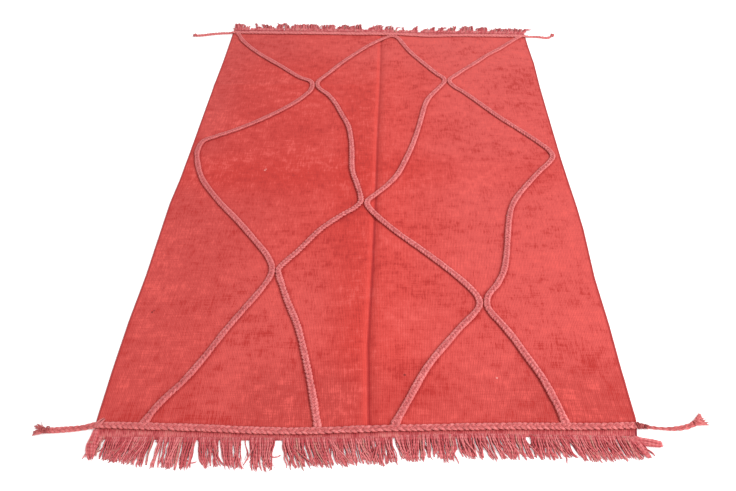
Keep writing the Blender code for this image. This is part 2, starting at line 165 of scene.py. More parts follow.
Fold = namedtuple("Fold", "y x left_rise right_rise")
FOLD_LINE = rows_of(
    Fold,
    (-1.365, 0.018, 0.0020, 0.0025), (-1.227, 0.013, 0.0040, 0.0045), (-0.982, 0.005, 0.0050, 0.0055),
    (-0.560, 0.013, 0.0045, 0.0055), (-0.090, 0.018, 0.0045, 0.0050), (0.334, 0.020, 0.0050, 0.0045),
    (0.741, 0.025, 0.0050, 0.0050), (1.165, 0.025, 0.0045, 0.0045), (1.380, 0.024, 0.0025, 0.0025),
)

Ridge = namedtuple("Ridge", "y side rise")
RIDGES = (Ridge(0.750, "left", 0.0030), Ridge(-1.120, "right", 0.0020))


def between(rows, key, value, at):
    """The value column of a table at a place along its key column, on straight lines."""
    places = [getattr(row, key) for row in rows]
    i = min(max(bisect_right(places, at), 1), len(rows) - 1)
    low, high = rows[i - 1], rows[i]
    share = min(max((at - places[i - 1]) / (places[i] - places[i - 1]), 0.0), 1.0)
    return getattr(low, value) * (1 - share) + getattr(high, value) * share


def cloth_top(x, y):
    """Height of the cloth's upper side, or 0 off the cloth."""
    left, right = between(SIDES, "y", "left", y), between(SIDES, "y", "right", y)
    if not left <= x <= right:
        return 0.0
    if not between(NEAR_END, "x", "y", x) <= y <= between(FAR_END, "x", "y", x):
        return 0.0
    return CLOTH_THICK + rise(x, y)


def rise(x, y):
    """How far the cloth stands off the floor."""
    away = x - between(FOLD_LINE, "y", "x", y)
    top = between(FOLD_LINE, "y", "left_rise" if away < 0 else "right_rise", y)
    if abs(away) < CREST:
        height = top * (1 - (1 - abs(away) / CREST) ** CREST_ROUNDNESS)
    else:
        down = min(1.0, (abs(away) - CREST) / (FOOT - CREST))
        height = top * (0.5 + 0.5 * math.cos(math.pi * down))
    for ridge in RIDGES:
        if (away < 0) == (ridge.side == "left"):
            share = max(0.0, 1 - abs(y - ridge.y) / RIDGE_REACH)
            height += ridge.rise * share**RIDGE_ROUNDNESS * min(1.0, abs(away) / FOOT)
    swell = noise.noise(Vector((x * 3.1, y * 2.3, 4.0)))
    swell += 0.5 * noise.noise(Vector((x * 7.0, y * 9.0, 8.0)))
    return height + max(0.0, SWELL_MEAN + SWELL_HEIGHT * swell)


# The columns stand closer along each side, for its round cord, and at the fold.
SIDE_SHARES = (0.0, 0.0012, 0.0026, 0.0042, 0.0085)
FOLD_SHARE = 0.512
FOLD_SPREAD = 0.026
FOLD_CLOSER = 1.6
run_of = np.linspace(0.0, 1.0, 2001)
packed = np.cumsum(1 + FOLD_CLOSER * np.exp(-(((run_of - FOLD_SHARE) / FOLD_SPREAD) ** 2)))
packed = (packed - packed[0]) / (packed[-1] - packed[0])
inner = np.interp(np.linspace(0.0, 1.0, COLUMNS + 3 - 2 * len(SIDE_SHARES))[1:-1], packed, run_of)
inner = SIDE_SHARES[-1] + (1 - 2 * SIDE_SHARES[-1]) * inner
ACROSS = [*SIDE_SHARES, *inner, *(1 - share for share in reversed(SIDE_SHARES))]

bpy.ops.object.select_all(action="DESELECT")
bpy.ops.mesh.primitive_grid_add(x_subdivisions=COLUMNS, y_subdivisions=ROWS, size=1.0, calc_uvs=True)
ground = bpy.context.object
ground.name = "ground_cloth"
ground_uv = ground.data.uv_layers[0]
ground_uv.name = "weave"
band = ground.data.attributes.new("band", "FLOAT", "POINT")
fold = ground.data.attributes.new("fold", "FLOAT", "POINT")

weave_place = {}
for vertex in ground.data.vertices:
    column, row = round((vertex.co.x + 0.5) * COLUMNS), round((vertex.co.y + 0.5) * ROWS)
    share_up = row / ROWS
    y = SIDES[0].y + (SIDES[-1].y - SIDES[0].y) * share_up
    share = ACROSS[column]
    x = between(SIDES, "y", "left", y) * (1 - share) + between(SIDES, "y", "right", y) * share
    low, high = between(NEAR_END, "x", "y", x), between(FAR_END, "x", "y", x)
    y = low + (high - low) * share_up
    edge = min(share, 1 - share) * CLOTH_FLAT[0]
    bead = BEAD * max(0.0, 1 - abs(edge - SELVEDGE / 2) / (SELVEDGE / 2))
    vertex.co = (x, y, CLOTH_THICK + rise(x, y) + bead)
    weave_place[vertex.index] = ((share - 0.5) * CLOTH_FLAT[0], y)
    past = max(between(NEAR_SEAM, "x", "y", x) - y, y - between(FAR_SEAM, "x", "y", x))
    band.data[vertex.index].value = past
    fold.data[vertex.index].value = x - between(FOLD_LINE, "y", "x", y)
for loop in ground.data.loops:
    ground_uv.data[loop.index].uv = weave_place[loop.vertex_index]

ground.data.uv_layers.new(name="stitching")

thickness = ground.modifiers.new("thickness", "SOLIDIFY")
thickness.thickness = CLOTH_THICK
thickness.offset = -1.0
thickness.use_even_offset = False
bpy.context.view_layer.objects.active = ground
bpy.ops.object.modifier_apply(modifier=thickness.name)
bpy.ops.object.shade_smooth()


def new_group(name, inputs, outputs):
    """An empty shader node group with named inputs (kind, value) and outputs (kind)."""
    group = bpy.data.node_groups.new(name, "ShaderNodeTree")
    for label, kind, value in inputs:
        socket = group.interface.new_socket(label, in_out="INPUT", socket_type=kind)
        if value is not None:
            socket.default_value = value
    for label, kind in outputs:
        group.interface.new_socket(label, in_out="OUTPUT", socket_type=kind)
    return group, group.nodes.new("NodeGroupInput"), group.nodes.new("NodeGroupOutput")


def add_node(tree, kind, joins, **settings):
    """A node with its settings. joins holds a socket or a number for inputs, by name or place."""
    node = tree.nodes.new(kind)
    for label, value in settings.items():
        setattr(node, label, value)
    for label, value in joins.items():
        if isinstance(value, bpy.types.NodeSocket):
            tree.links.new(value, node.inputs[label])
        else:
            node.inputs[label].default_value = value
    return node


def math_node(operation, first, second=0.0, clamp=False):
    """A Math node in the node tree of its first socket; second is a socket or a number."""
    joins = {0: first, 1: second}
    return add_node(first.id_data, "ShaderNodeMath", joins, operation=operation, use_clamp=clamp).outputs[0]


def times(first, second):
    """The product of two values, such as two masks."""
    return math_node("MULTIPLY", first, second)


def noise_node(vector, scale, detail=3.0, roughness=0.55):
    """Noise from 0 to 1 on a vector socket, at one scale or at one along each axis."""
    tree = vector.id_data
    if isinstance(scale, tuple):
        vector = add_node(tree, "ShaderNodeMapping", {"Vector": vector, "Scale": scale}).outputs[0]
        scale = 1.0
    joins = {"Vector": vector, "Scale": scale, "Detail": detail, "Roughness": roughness}
    return add_node(tree, "ShaderNodeTexNoise", joins).outputs[0]


def mix_colour(share, first, second, blend="MIX"):
    """A colour Mix node; share is a socket or a number, first and second are sockets or colours."""
    first, second = ((*part, 1.0) if isinstance(part, tuple) else part for part in (first, second))
    joins = {"Factor": share, 6: first, 7: second}
    tree = next(part.id_data for part in joins.values() if isinstance(part, bpy.types.NodeSocket))
    return add_node(tree, "ShaderNodeMix", joins, data_type="RGBA", blend_type=blend).outputs[2]


def layered(base, *layers):
    """A base colour with (mask, colour) layers laid over it in turn."""
    for mask, colour in layers:
        base = mix_colour(mask, base, colour)
    return base


def remapped(value, low, high, new_low=0.0, new_high=1.0):
    """A clamped, smooth Map Range node on a value socket."""
    joins = {"Value": value, "From Min": low, "From Max": high, "To Min": new_low, "To Max": new_high}
    return add_node(value.id_data, "ShaderNodeMapRange", joins, interpolation_type="SMOOTHSTEP").outputs[0]


def near_to(value, middle, full, gone, strength=1.0, rest=0.0):
    """A mask: strength where a value is within full of a middle, and rest from gone away outwards."""
    away = math_node("ABSOLUTE", math_node("SUBTRACT", value, middle))
    return remapped(away, full, gone, strength, rest)


def attribute_node(tree, name):
    """The value of a mesh attribute."""
    return add_node(tree, "ShaderNodeAttribute", {}, attribute_name=name).outputs["Fac"]


def uv_axes(tree, name):
    """A UV map's vector, and its two axes."""
    vector = add_node(tree, "ShaderNodeUVMap", {}, uv_map=name).outputs[0]
    apart = add_node(tree, "ShaderNodeSeparateXYZ", {0: vector})
    return vector, apart.outputs["X"], apart.outputs["Y"]


def ridged(value):
    """1 halfway between whole numbers and 0 at each: the round tops of threads counted by value."""
    return math_node("ABSOLUTE", math_node("SINE", times(value, math.pi)))


def weighted(*terms):
    """The sum of (socket, weight) terms."""
    total = times(*terms[0])
    for value, weight in terms[1:]:
        joins = {0: value, 1: weight, 2: total}
        total = add_node(value.id_data, "ShaderNodeMath", joins, operation="MULTIPLY_ADD").outputs[0]
    return total


def wool(name):
    """A new material of dry wool: its tree, its shader node and itself."""
    material = bpy.data.materials.new(name)
    material.use_nodes = True
    shader = material.node_tree.nodes["Principled BSDF"]
    shader.inputs["Roughness"].default_value = 0.9
    shader.inputs["Specular IOR Level"].default_value = 0.15
    shader.inputs["Sheen Weight"].default_value = 0.06
    shader.inputs["Sheen Roughness"].default_value = 0.5
    return material.node_tree, shader, material


# Short wool fibres that lie every way: a mottle for colour and roughness, and a height for the bump.
fibres, given, told = new_group(
    "wool_fibres",
    [("Vector", "NodeSocketVector", None)],
    [("Mottle", "NodeSocketFloat"), ("Height", "NodeSocketFloat")],
)
hair_one = noise_node(given.outputs["Vector"], (1400.0, 330.0, 700.0), 2.0)
hair_two = noise_node(given.outputs["Vector"], (330.0, 1400.0, 700.0), 2.0)
lumps = noise_node(given.outputs["Vector"], 210.0, 4.0, 0.65)
fibres.links.new(lumps, told.inputs["Mottle"])
fibres.links.new(weighted((hair_one, 0.35), (hair_two, 0.35), (lumps, 0.3)), told.inputs["Height"])

# A small round mark, such as a pulled thread or a burl: 1 at its middle and 0 past its edge.
spot, given, told = new_group(
    "wool_spot",
    [
        ("Vector", "NodeSocketVector", None),
        ("Middle", "NodeSocketVector", (0.0, 0.0, 0.0)),
        ("Radius", "NodeSocketFloat", 0.005),
    ],
    [("Mask", "NodeSocketFloat")],
)
ends = {0: given.outputs["Vector"], 1: given.outputs["Middle"]}
apart = add_node(spot, "ShaderNodeVectorMath", ends, operation="DISTANCE")
share_out = math_node("DIVIDE", apart.outputs["Value"], given.outputs["Radius"])
spot.links.new(remapped(share_out, 0.4, 1.0, 1.0, 0.0), told.inputs["Mask"])


def add_fibres(vector):
    """The wool fibres on a vector socket. Returns the mottle and the height."""
    node = add_node(vector.id_data, "ShaderNodeGroup", {"Vector": vector}, node_tree=fibres)
    return node.outputs["Mottle"], node.outputs["Height"]


def add_spot(vector, x, y, radius):
    """The mask of a small mark at a place on the cloth."""
    joins = {"Vector": vector, "Middle": (x, y, 0.0), "Radius": radius}
    return add_node(vector.id_data, "ShaderNodeGroup", joins, node_tree=spot).outputs["Mask"]


def finish_wool(shader, colour, mottle, roughness, relief, depth):
    """Joins a wool's colour, its roughness between two limits, and its relief to its shader."""
    joins = {"Height": relief, "Distance": depth, "Strength": 1.0}
    bump = add_node(shader.id_data, "ShaderNodeBump", joins)
    for label, socket in (
        ("Base Color", colour),
        ("Roughness", remapped(mottle, 0.2, 0.8, *roughness)),
        ("Normal", bump.outputs["Normal"]),
    ):
        shader.id_data.links.new(socket, shader.inputs[label])


RIB_PITCH = 0.0058
RIB_WANDER = 0.006  # how far a rib strays to the side
WEFT_PITCH = 0.0030
WEAVE_DEPTH = 0.0009
PAINTED_SHADE_FROM = 0.0130  # painted shade on the cloth beside a plait, less and less between these distances
PAINTED_SHADE_TO = 0.0240
PAINTED_SHADE_SHARE = 0.42
CORAL = (0.585, 0.056, 0.046)
CORAL_FADED = (0.585, 0.076, 0.069)
# the left of the field, darker with painted shade away from the window
CORAL_LEFT_SHADE = (0.515, 0.059, 0.053)
# deeper and redder in parts of the field, and also the painted shade beside the fold
CORAL_MIDDLE_AND_SHADE = (0.520, 0.030, 0.022)
# deeper dye where the tone is low, and also the painted shade right of the fold
CORAL_DEEP_AND_SHADE = (0.430, 0.029, 0.025)
CORAL_PALE = (0.680, 0.092, 0.080)
# the selvedge cords, darker with painted shade
CORAL_SIDE_SHADE = (0.380, 0.042, 0.040)
CORAL_SHADE = (0.300, 0.012, 0.014)
# paler wool: worn in the near part, and a painted sheen at the far end
CORAL_WORN_AND_SHEEN = (0.600, 0.090, 0.082)
CORAL_NEAR_DARKER = (0.460, 0.050, 0.044)  # darker over the near part of the field
# painted highlight on the lit slope left of the fold
CORAL_HIGHLIGHT = (0.700, 0.070, 0.055)
ROSE_BAND = (0.560, 0.112, 0.115)
ROSE_BAND_PALE = (0.620, 0.185, 0.170)
ROSE_BAND_DEEP = (0.380, 0.050, 0.056)
ROSE_BAND_DARK = (0.190, 0.016, 0.026)
BURL_DARK = (0.160, 0.018, 0.018)
BURL_PALE = (0.780, 0.330, 0.300)
BURL_SHARE = 0.75
Burl = namedtuple("Burl", "x y radius")
DARK_BURLS = rows_of(Burl, (0.131, -1.110, 0.0065), (-0.777, -0.840, 0.0060), (-0.772, -0.832, 0.0045))
PALE_BURLS = rows_of(Burl, (0.434, -1.118, 0.0050), (-0.483, 0.012, 0.0060), (-0.478, 0.020, 0.0045))

tree, shader, coral_weave = wool("coral_weave")
uv, across, along = uv_axes(tree, "weave")
wander = noise_node(uv, (3.0, 2.0, 1.0), 2.0)
rib_count = math_node("DIVIDE", weighted((across, 1.0), (wander, RIB_WANDER)), RIB_PITCH)
rib = ridged(rib_count)
rib_number = math_node("FLOOR", rib_count)
weft = weighted((along, 1 / WEFT_PITCH), (rib_number, 0.5), (wander, 2.0))
threads = times(rib, weighted((ridged(weft), 0.5), (rib, 0.5)))
mottle, fuzz = add_fibres(uv)

# The dye has taken unevenly: in patches, in streaks up the ribs and in streaks along the weft.
patch_wide = noise_node(uv, (3.2, 4.5, 1.0), 4.0)
patch_mid = noise_node(uv, (22.0, 26.0, 1.0), 4.0)
up_streak = noise_node(uv, (170.0, 16.0, 1.0))
up_streak_fine = noise_node(uv, (420.0, 45.0, 2.0), 2.0)
weft_streak = noise_node(uv, (13.0, 190.0, 3.0))
tone = weighted(
    (patch_wide, 0.20),
    (patch_mid, 0.22),
    (up_streak, 0.20),
    (up_streak_fine, 0.14),
    (weft_streak, 0.14),
    (mottle, 0.10),
)

# Parts of the field that are faded, worn or deeper, and parts with painted light and shade: each mask has
# its places on the cloth and its share.
faded = near_to(weighted((across, 1.0), (patch_wide, 0.4)), 0.0, 0.15, 0.75, 0.0, 1.0)
# Painted shade: the field darker towards the left, away from the window.
left_painted_shade = remapped(weighted((across, 1.0), (patch_wide, 0.2)), 0.15, -0.70)
middle_band = times(near_to(along, 0.0, 0.02, 0.20, 0.50), remapped(across, 0.10, 0.45, 1.0, 0.45))
# Painted shade on the slope left of the fold, which faces away from the window.
shade_beside_fold = times(
    near_to(weighted((across, 1.0), (patch_wide, 0.10)), -0.03, 0.03, 0.14, 0.45),
    remapped(along, 0.65, 1.05, 1.0, 0.0),
)
# Painted sheen: the far end paler towards the right, as wool shines when seen from a low angle.
far_painted_sheen = times(
    remapped(weighted((along, 1.0), (patch_wide, 0.3)), 0.85, 1.30, 0.0, 0.55),
    remapped(across, -0.45, 0.05),
)
near_faded = times(remapped(along, -0.35, -0.85, 0.0, 0.50), near_to(across, -0.32, 0.12, 0.30))
left_deep = times(near_to(along, 0.42, 0.45, 0.75, 0.45), near_to(across, -0.48, 0.16, 0.34))
# The field darker over its near part, less so at the left side and about 0.22 m right of the middle.
near_darker = times(
    times(
        remapped(weighted((along, 1.0), (patch_mid, 0.1)), -0.92, -1.16, 0.0, 0.90),
        remapped(across, -0.48, -0.34, 0.1, 1.0),
    ),
    near_to(across, 0.22, 0.18, 0.36, 0.50, 1.0),
)

# The selvedge cords, darker with painted shade on their shaded outer faces, and painted shade in the groove
# beside them; and the fold line, with a painted highlight on its lit side and painted shade in it and on its
# shaded side.
edge_start = CLOTH_FLAT[0] / 2 - SELVEDGE
off_middle = math_node("ABSOLUTE", across)
side = remapped(off_middle, edge_start, edge_start + 0.0015)
side_groove = near_to(off_middle, edge_start, 0.0004, 0.0022, 0.45)
off_fold = attribute_node(tree, "fold")
fold_line = times(
    near_to(weighted((off_fold, 1.0), (patch_mid, 0.005)), 0.004, 0.0016, 0.0085, 0.62),
    remapped(along, -0.2, 0.9, 1.0, 0.45),
)
# Painted shade on the slope right of the fold, and a painted highlight on the lit slope left of it.
shade_right_of_fold = times(math_node("GREATER_THAN", off_fold, 0.0), remapped(off_fold, 0.0, 0.034, 0.42, 0.0))
highlight_left_of_fold = near_to(off_fold, -0.012, 0.003, 0.011, 0.38)

field = layered(
    CORAL,
    (faded, CORAL_FADED),
    (left_painted_shade, CORAL_LEFT_SHADE),
    (middle_band, CORAL_MIDDLE_AND_SHADE),
    (shade_beside_fold, CORAL_MIDDLE_AND_SHADE),
    (math_node("MAXIMUM", far_painted_sheen, near_faded), CORAL_WORN_AND_SHEEN),
    (left_deep, CORAL_MIDDLE_AND_SHADE),
    (near_darker, CORAL_NEAR_DARKER),
    (remapped(tone, 0.500, 0.418), CORAL_DEEP_AND_SHADE),
    (remapped(tone, 0.500, 0.590), CORAL_PALE),
    (side, CORAL_SIDE_SHADE),
    (side_groove, CORAL_SHADE),
    (highlight_left_of_fold, CORAL_HIGHLIGHT),
    (shade_right_of_fold, CORAL_DEEP_AND_SHADE),
    (fold_line, CORAL_SHADE),
    *((times(add_spot(uv, *burl), BURL_SHARE), BURL_DARK) for burl in DARK_BURLS),
    *((times(add_spot(uv, *burl), BURL_SHARE), BURL_PALE) for burl in PALE_BURLS),
)

# The rose band past each end plait, darker at its right edge near by, and the painted shade beside the
# plaits.
rose_tone = weighted((noise_node(uv, (230.0, 40.0, 4.0)), 0.6), (patch_mid, 0.4))
end_weave = layered(
    ROSE_BAND,
    (remapped(rose_tone, 0.50, 0.42), ROSE_BAND_DEEP),
    (remapped(rose_tone, 0.51, 0.60), ROSE_BAND_PALE),
)
past_seam = remapped(attribute_node(tree, "band"), -0.002, 0.002)
past_side = remapped(across, edge_start - 0.001, edge_start + 0.002, 0.0, 0.85)
near_half = math_node("LESS_THAN", along, 0.0)
_, off_plait, off_other = uv_axes(tree, "stitching")
shade_beside_plaits = math_node(
    "MAXIMUM",
    near_to(off_plait, 0.0, PAINTED_SHADE_FROM, PAINTED_SHADE_TO, PAINTED_SHADE_SHARE),
    near_to(off_other, 0.0, PAINTED_SHADE_FROM, PAINTED_SHADE_TO, PAINTED_SHADE_SHARE),
)
# The painted shade beside the plaits is weaker towards the far right, which the window lights.
less_far_right = remapped(weighted((across, 0.7), (along, 0.7)), 0.40, 0.90, 1.0, 0.4)
woven = layered(
    field,
    (past_seam, end_weave),
    (times(times(past_side, past_seam), near_half), ROSE_BAND_DARK),
    (times(shade_beside_plaits, less_far_right), CORAL_SHADE),
)
# Painted shade in the hollows between the threads and the ribs.
field_shade = remapped(threads, 0.0, 0.5, 0.86, 1.0)
band_shade = remapped(rib, 0.0, 0.6, 0.62, 1.0)
woven = mix_colour(1.0, woven, mix_colour(past_seam, field_shade, band_shade), "MULTIPLY")
relief = weighted((threads, 0.6), (fuzz, 0.4), (up_streak, 0.5))
finish_wool(shader, woven, mottle, (0.84, 0.98), relief, WEAVE_DEPTH)
ground.data.materials.append(coral_weave)
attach(ground, "root")
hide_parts("cloth")


# ---------------------------------------------------------------------------
# The plaits over the field: three soft wool strands each, plaited flat and
# sewn down along a wandering line. Where two lines meet they only touch.
# The middle one turns at the far end and comes back.
# ---------------------------------------------------------------------------

PLAIT_WIDTH = 0.0254
PLAIT_HEIGHT = 0.0095
PLAIT_LAY = 0.044  # length in which a strand crosses over and comes back
END_PLAIT_LAY = 0.054
STEPS_A_LAY = 18
STRAND_BROAD = 0.54  # a strand's width and thickness as shares of the plait's
STRAND_THICK = 0.60
STRAND_SIDES = 8
PULL_STEP = 0.045  # length over which the plaiter's pull varies, and how much it changes width and lay
PULL_WIDTH = 0.05
PULL_LAY = 0.9
WOBBLE = 0.25  # how far each strand runs ahead or behind by itself, and how often over a metre
WOBBLE_RATE = 43.0
HOLLOW = 0.80  # the painted shade on a strand at the plait's middle, where it dives under the others, and how fast that fades outwards and upwards
HOLLOW_FADE = 1.30
HOLLOW_LIFT = 0.42
RIM_FROM = 0.30  # the strands' outer parts, with a painted highlight, as shares of half the plait's width
RIM_LENGTH = 0.40
FLANK_FROM = 0.78  # and their flanks, with painted red light from the ground
FLANK_LENGTH = 0.17
TUCK_LENGTH = 0.02
TUCK_DIP = 0.25
TUCK_IN = 0.005  # how far a field plait goes in under an end plait
BRIDGE = 2  # steps to each side over which a plait bridges a hollow
FINE_STEP = 0.006
FLARE = 0.30  # how much wider the plait has spread where it meets the near end

Stop = namedtuple("Stop", "end x")
ROUTES = {
    "field_braid_left": (
        Stop("far", -0.811),
        [
            (-0.765, 1.230), (-0.660, 1.090), (-0.518, 0.944), (-0.400, 0.820), (-0.345, 0.782),
            (-0.329, 0.750), (-0.332, 0.693), (-0.360, 0.635), (-0.400, 0.575), (-0.475, 0.490),
            (-0.574, 0.398), (-0.674, 0.320), (-0.758, 0.267), (-0.803, 0.232), (-0.815, 0.159),
            (-0.805, 0.095), (-0.755, -0.050), (-0.655, -0.205), (-0.551, -0.335), (-0.460, -0.458),
            (-0.398, -0.549), (-0.373, -0.612), (-0.375, -0.660), (-0.401, -0.730), (-0.446, -0.820),
            (-0.499, -0.927), (-0.548, -1.039), (-0.602, -1.146), (-0.651, -1.219), (-0.676, -1.266),
        ],
        Stop("near", -0.693),
    ),
    "field_braid_middle": (
        Stop("near", -0.143),
        [
            (-0.169, -1.195), (-0.205, -1.049), (-0.246, -0.905), (-0.296, -0.782), (-0.325, -0.701),
            (-0.344, -0.645), (-0.347, -0.620), (-0.330, -0.587), (-0.280, -0.515), (-0.204, -0.392),
            (-0.132, -0.312), (-0.065, -0.253), (-0.046, -0.222), (-0.044, -0.195), (-0.062, -0.106),
            (-0.088, 0.000), (-0.097, 0.150), (-0.106, 0.255), (-0.124, 0.364), (-0.158, 0.457),
            (-0.202, 0.576), (-0.243, 0.652), (-0.289, 0.708), (-0.302, 0.745), (-0.298, 0.780),
            (-0.249, 0.866), (-0.170, 0.998), (-0.091, 1.105), (-0.041, 1.164), (0.009, 1.219),
            (0.052, 1.259), (0.086, 1.278), (0.115, 1.263), (0.146, 1.200), (0.171, 1.135),
            (0.217, 1.042), (0.256, 0.974), (0.331, 0.848), (0.359, 0.810), (0.362, 0.775),
            (0.335, 0.720), (0.278, 0.621), (0.255, 0.553), (0.219, 0.364), (0.182, 0.198),
            (0.145, 0.071), (0.112, -0.027), (0.064, -0.110), (0.004, -0.184), (-0.015, -0.211),
            (-0.015, -0.240), (0.034, -0.320), (0.109, -0.409), (0.190, -0.490), (0.326, -0.643),
            (0.381, -0.717), (0.404, -0.764), (0.404, -0.801), (0.380, -0.841), (0.333, -0.898),
            (0.293, -0.952), (0.217, -1.060), (0.169, -1.151), (0.135, -1.223),
        ],
        Stop("near", 0.094),
    ),
    "field_braid_right": (
        Stop("far", 0.817),
        [
            (0.755, 1.204), (0.683, 1.124), (0.612, 1.055), (0.537, 0.967), (0.477, 0.902),
            (0.418, 0.831), (0.391, 0.797), (0.390, 0.766), (0.416, 0.716), (0.452, 0.673),
            (0.507, 0.594), (0.613, 0.435), (0.692, 0.331), (0.768, 0.227), (0.810, 0.157),
            (0.817, 0.117), (0.800, 0.078), (0.741, 0.003), (0.681, -0.082), (0.622, -0.172),
            (0.589, -0.242), (0.569, -0.318), (0.552, -0.417), (0.534, -0.528), (0.513, -0.619),
            (0.481, -0.691), (0.442, -0.749), (0.433, -0.783), (0.436, -0.815), (0.479, -0.893),
            (0.509, -0.950), (0.532, -1.003), (0.577, -1.106), (0.609, -1.205),
        ],
        Stop("near", 0.629),
    ),
}

EndPlait = namedtuple("EndPlait", "x y width height")
NEAR_PLAIT = rows_of(
    EndPlait,
    (-0.997, -1.336, 0.021, 0.0095), (-0.952, -1.333, 0.0215, 0.010), (-0.892, -1.326, 0.0215, 0.010),
    (-0.845, -1.318, 0.025, 0.010), (-0.675, -1.319, 0.027, 0.0105), (-0.516, -1.322, 0.027, 0.0105),
    (-0.357, -1.328, 0.027, 0.0105), (-0.231, -1.330, 0.026, 0.0105), (-0.106, -1.326, 0.026, 0.0105),
    (0.112, -1.315, 0.026, 0.0105), (0.425, -1.303, 0.026, 0.0105), (0.734, -1.299, 0.026, 0.0105),
    (0.842, -1.294, 0.025, 0.010), (0.866, -1.294, 0.016, 0.010), (0.885, -1.297, 0.0125, 0.009),
    (0.925, -1.301, 0.0125, 0.008), (0.960, -1.301, 0.017, 0.009), (0.998, -1.295, 0.020, 0.0095),
    (1.034, -1.279, 0.021, 0.010),
)
FAR_PLAIT = rows_of(
    EndPlait,
    (-1.052, 1.306, 0.023, 0.0110), (-1.020, 1.311, 0.025, 0.0110), (-0.930, 1.331, 0.023, 0.0115),
    (-0.860, 1.337, 0.021, 0.010), (-0.825, 1.336, 0.025, 0.010), (-0.682, 1.332, 0.026, 0.0105),
    (-0.447, 1.325, 0.026, 0.0105), (-0.214, 1.318, 0.026, 0.0105), (-0.040, 1.307, 0.026, 0.0105),
    (0.060, 1.304, 0.026, 0.0105), (0.150, 1.302, 0.026, 0.0105), (0.294, 1.285, 0.026, 0.0105),
    (0.478, 1.289, 0.026, 0.0105), (0.649, 1.285, 0.026, 0.0105), (0.835, 1.279, 0.025, 0.010),
    (0.880, 1.280, 0.020, 0.0095), (0.935, 1.274, 0.021, 0.0110), (0.972, 1.265, 0.021, 0.0110),
    (0.992, 1.271, 0.020, 0.0120),
)

# A yarn or strand: its path, its sizes across, whether its width stays level, and its look, which can
# change from point to point, or from point to point and side to side.
Yarn = namedtuple("Yarn", "path width height level sides lobe lay tone low rim")


def smooth(points, step):
    """Points about step apart on a smooth curve through the given ones (centripetal Catmull-Rom)."""
    points = [Vector(point) for point in points]
    ends = [2 * points[0] - points[1], *points, 2 * points[-1] - points[-2]]
    curve = [points[0]]
    for p0, p1, p2, p3 in zip(ends, ends[1:], ends[2:], ends[3:]):
        t1 = (p1 - p0).length ** 0.5
        t2 = t1 + (p2 - p1).length ** 0.5
        t3 = t2 + (p3 - p2).length ** 0.5
        pieces = max(1, round((p2 - p1).length / step))
        for piece in range(1, pieces + 1):
            t = t1 + (t2 - t1) * piece / pieces
            a1 = p0 + (p1 - p0) * (t / t1)
            a2 = p1 + (p2 - p1) * ((t - t1) / (t2 - t1))
            a3 = p2 + (p3 - p2) * ((t - t2) / (t3 - t2))
            b1 = a1 + (a2 - a1) * (t / t2)
            b2 = a2 + (a3 - a2) * ((t - t1) / (t3 - t1))
            curve.append(b1 + (b2 - b1) * ((t - t1) / (t2 - t1)))
    return np.array([tuple(point) for point in curve])


def run_along(path):
    """The length run at each point of a path."""
    return np.concatenate([[0.0], np.cumsum(np.linalg.norm(np.diff(path, axis=0), axis=1))])


def directions(path, level):
    """Unit directions along a path, to its side and upwards. A level path keeps its side level."""
    ahead = np.gradient(path, axis=0)
    ahead /= np.linalg.norm(ahead, axis=1)[:, None]
    if level:
        side = np.cross(ahead, (0.0, 0.0, 1.0))
    else:
        side = np.empty_like(ahead)
        start = np.cross(ahead[0], (0.0, 0.0, 1.0))
        side[0] = start if np.linalg.norm(start) > 0.1 else (1.0, 0.0, 0.0)
        for i in range(1, len(path)):
            side[i] = side[i - 1] - ahead[i] * np.dot(side[i - 1], ahead[i])
            side[i] /= np.linalg.norm(side[i])
    side /= np.linalg.norm(side, axis=1)[:, None]
    return ahead, side, np.cross(side, ahead)


def spin_yarns(name, yarns, material):
    """One mesh of closed tubes: their UV runs along each yarn (metres) and round it (0 to 1)."""
    places, faces, runs = [], [], []
    looks = {"tone": [], "low": [], "rim": []}
    start = 0
    for yarn in yarns:
        path = np.asarray(yarn.path, float)
        rings, sides = len(path), yarn.sides
        _, side, up = directions(path, yarn.level)
        length = run_along(path)
        angle = np.arange(sides) / sides * 2 * math.pi
        swell = 1 + yarn.lobe * np.cos(2 * (angle[None, :] - 2 * math.pi * length[:, None] / yarn.lay))
        wide = np.cos(angle)[None, :] * swell * np.reshape(yarn.width, (-1, 1)) / 2
        high = np.sin(angle)[None, :] * swell * np.reshape(yarn.height, (-1, 1)) / 2
        ring = side[:, None, :] * wide[:, :, None] + up[:, None, :] * high[:, :, None]
        places.append((path[:, None, :] + ring).reshape(-1, 3))
        for label, values in looks.items():
            look = np.asarray(getattr(yarn, label), float)
            look = look if look.ndim == 2 else look.reshape(-1, 1)
            values.append(np.broadcast_to(look, (rings, sides)).reshape(-1))
        for i in range(rings - 1):
            for k in range(sides):
                after = (k + 1) % sides
                here, there = start + i * sides, start + (i + 1) * sides
                faces.append((here + k, here + after, there + after, there + k))
                low, high = k / sides, (k + 1) / sides
                behind, ahead = length[i], length[i + 1]
                runs.append(((behind, low), (behind, high), (ahead, high), (ahead, low)))
        last = start + (rings - 1) * sides
        faces += [tuple(start + k for k in reversed(range(sides))), tuple(last + k for k in range(sides))]
        runs += [((length[0], 0.5),) * sides, ((length[-1], 0.5),) * sides]
        start += rings * sides
    mesh = bpy.data.meshes.new(name)
    mesh.from_pydata(np.concatenate(places).tolist(), [], faces)
    uv_layer = mesh.uv_layers.new(name="yarn")
    uv_layer.data.foreach_set("uv", [number for run in runs for pair in run for number in pair])
    for label, values in looks.items():
        mesh.attributes.new(label, "FLOAT", "POINT").data.foreach_set("value", np.concatenate(values))
    mesh.shade_smooth()
    mesh.materials.append(material)
    obj = bpy.data.objects.new(name, mesh)
    bpy.context.scene.collection.objects.link(obj)
    return obj


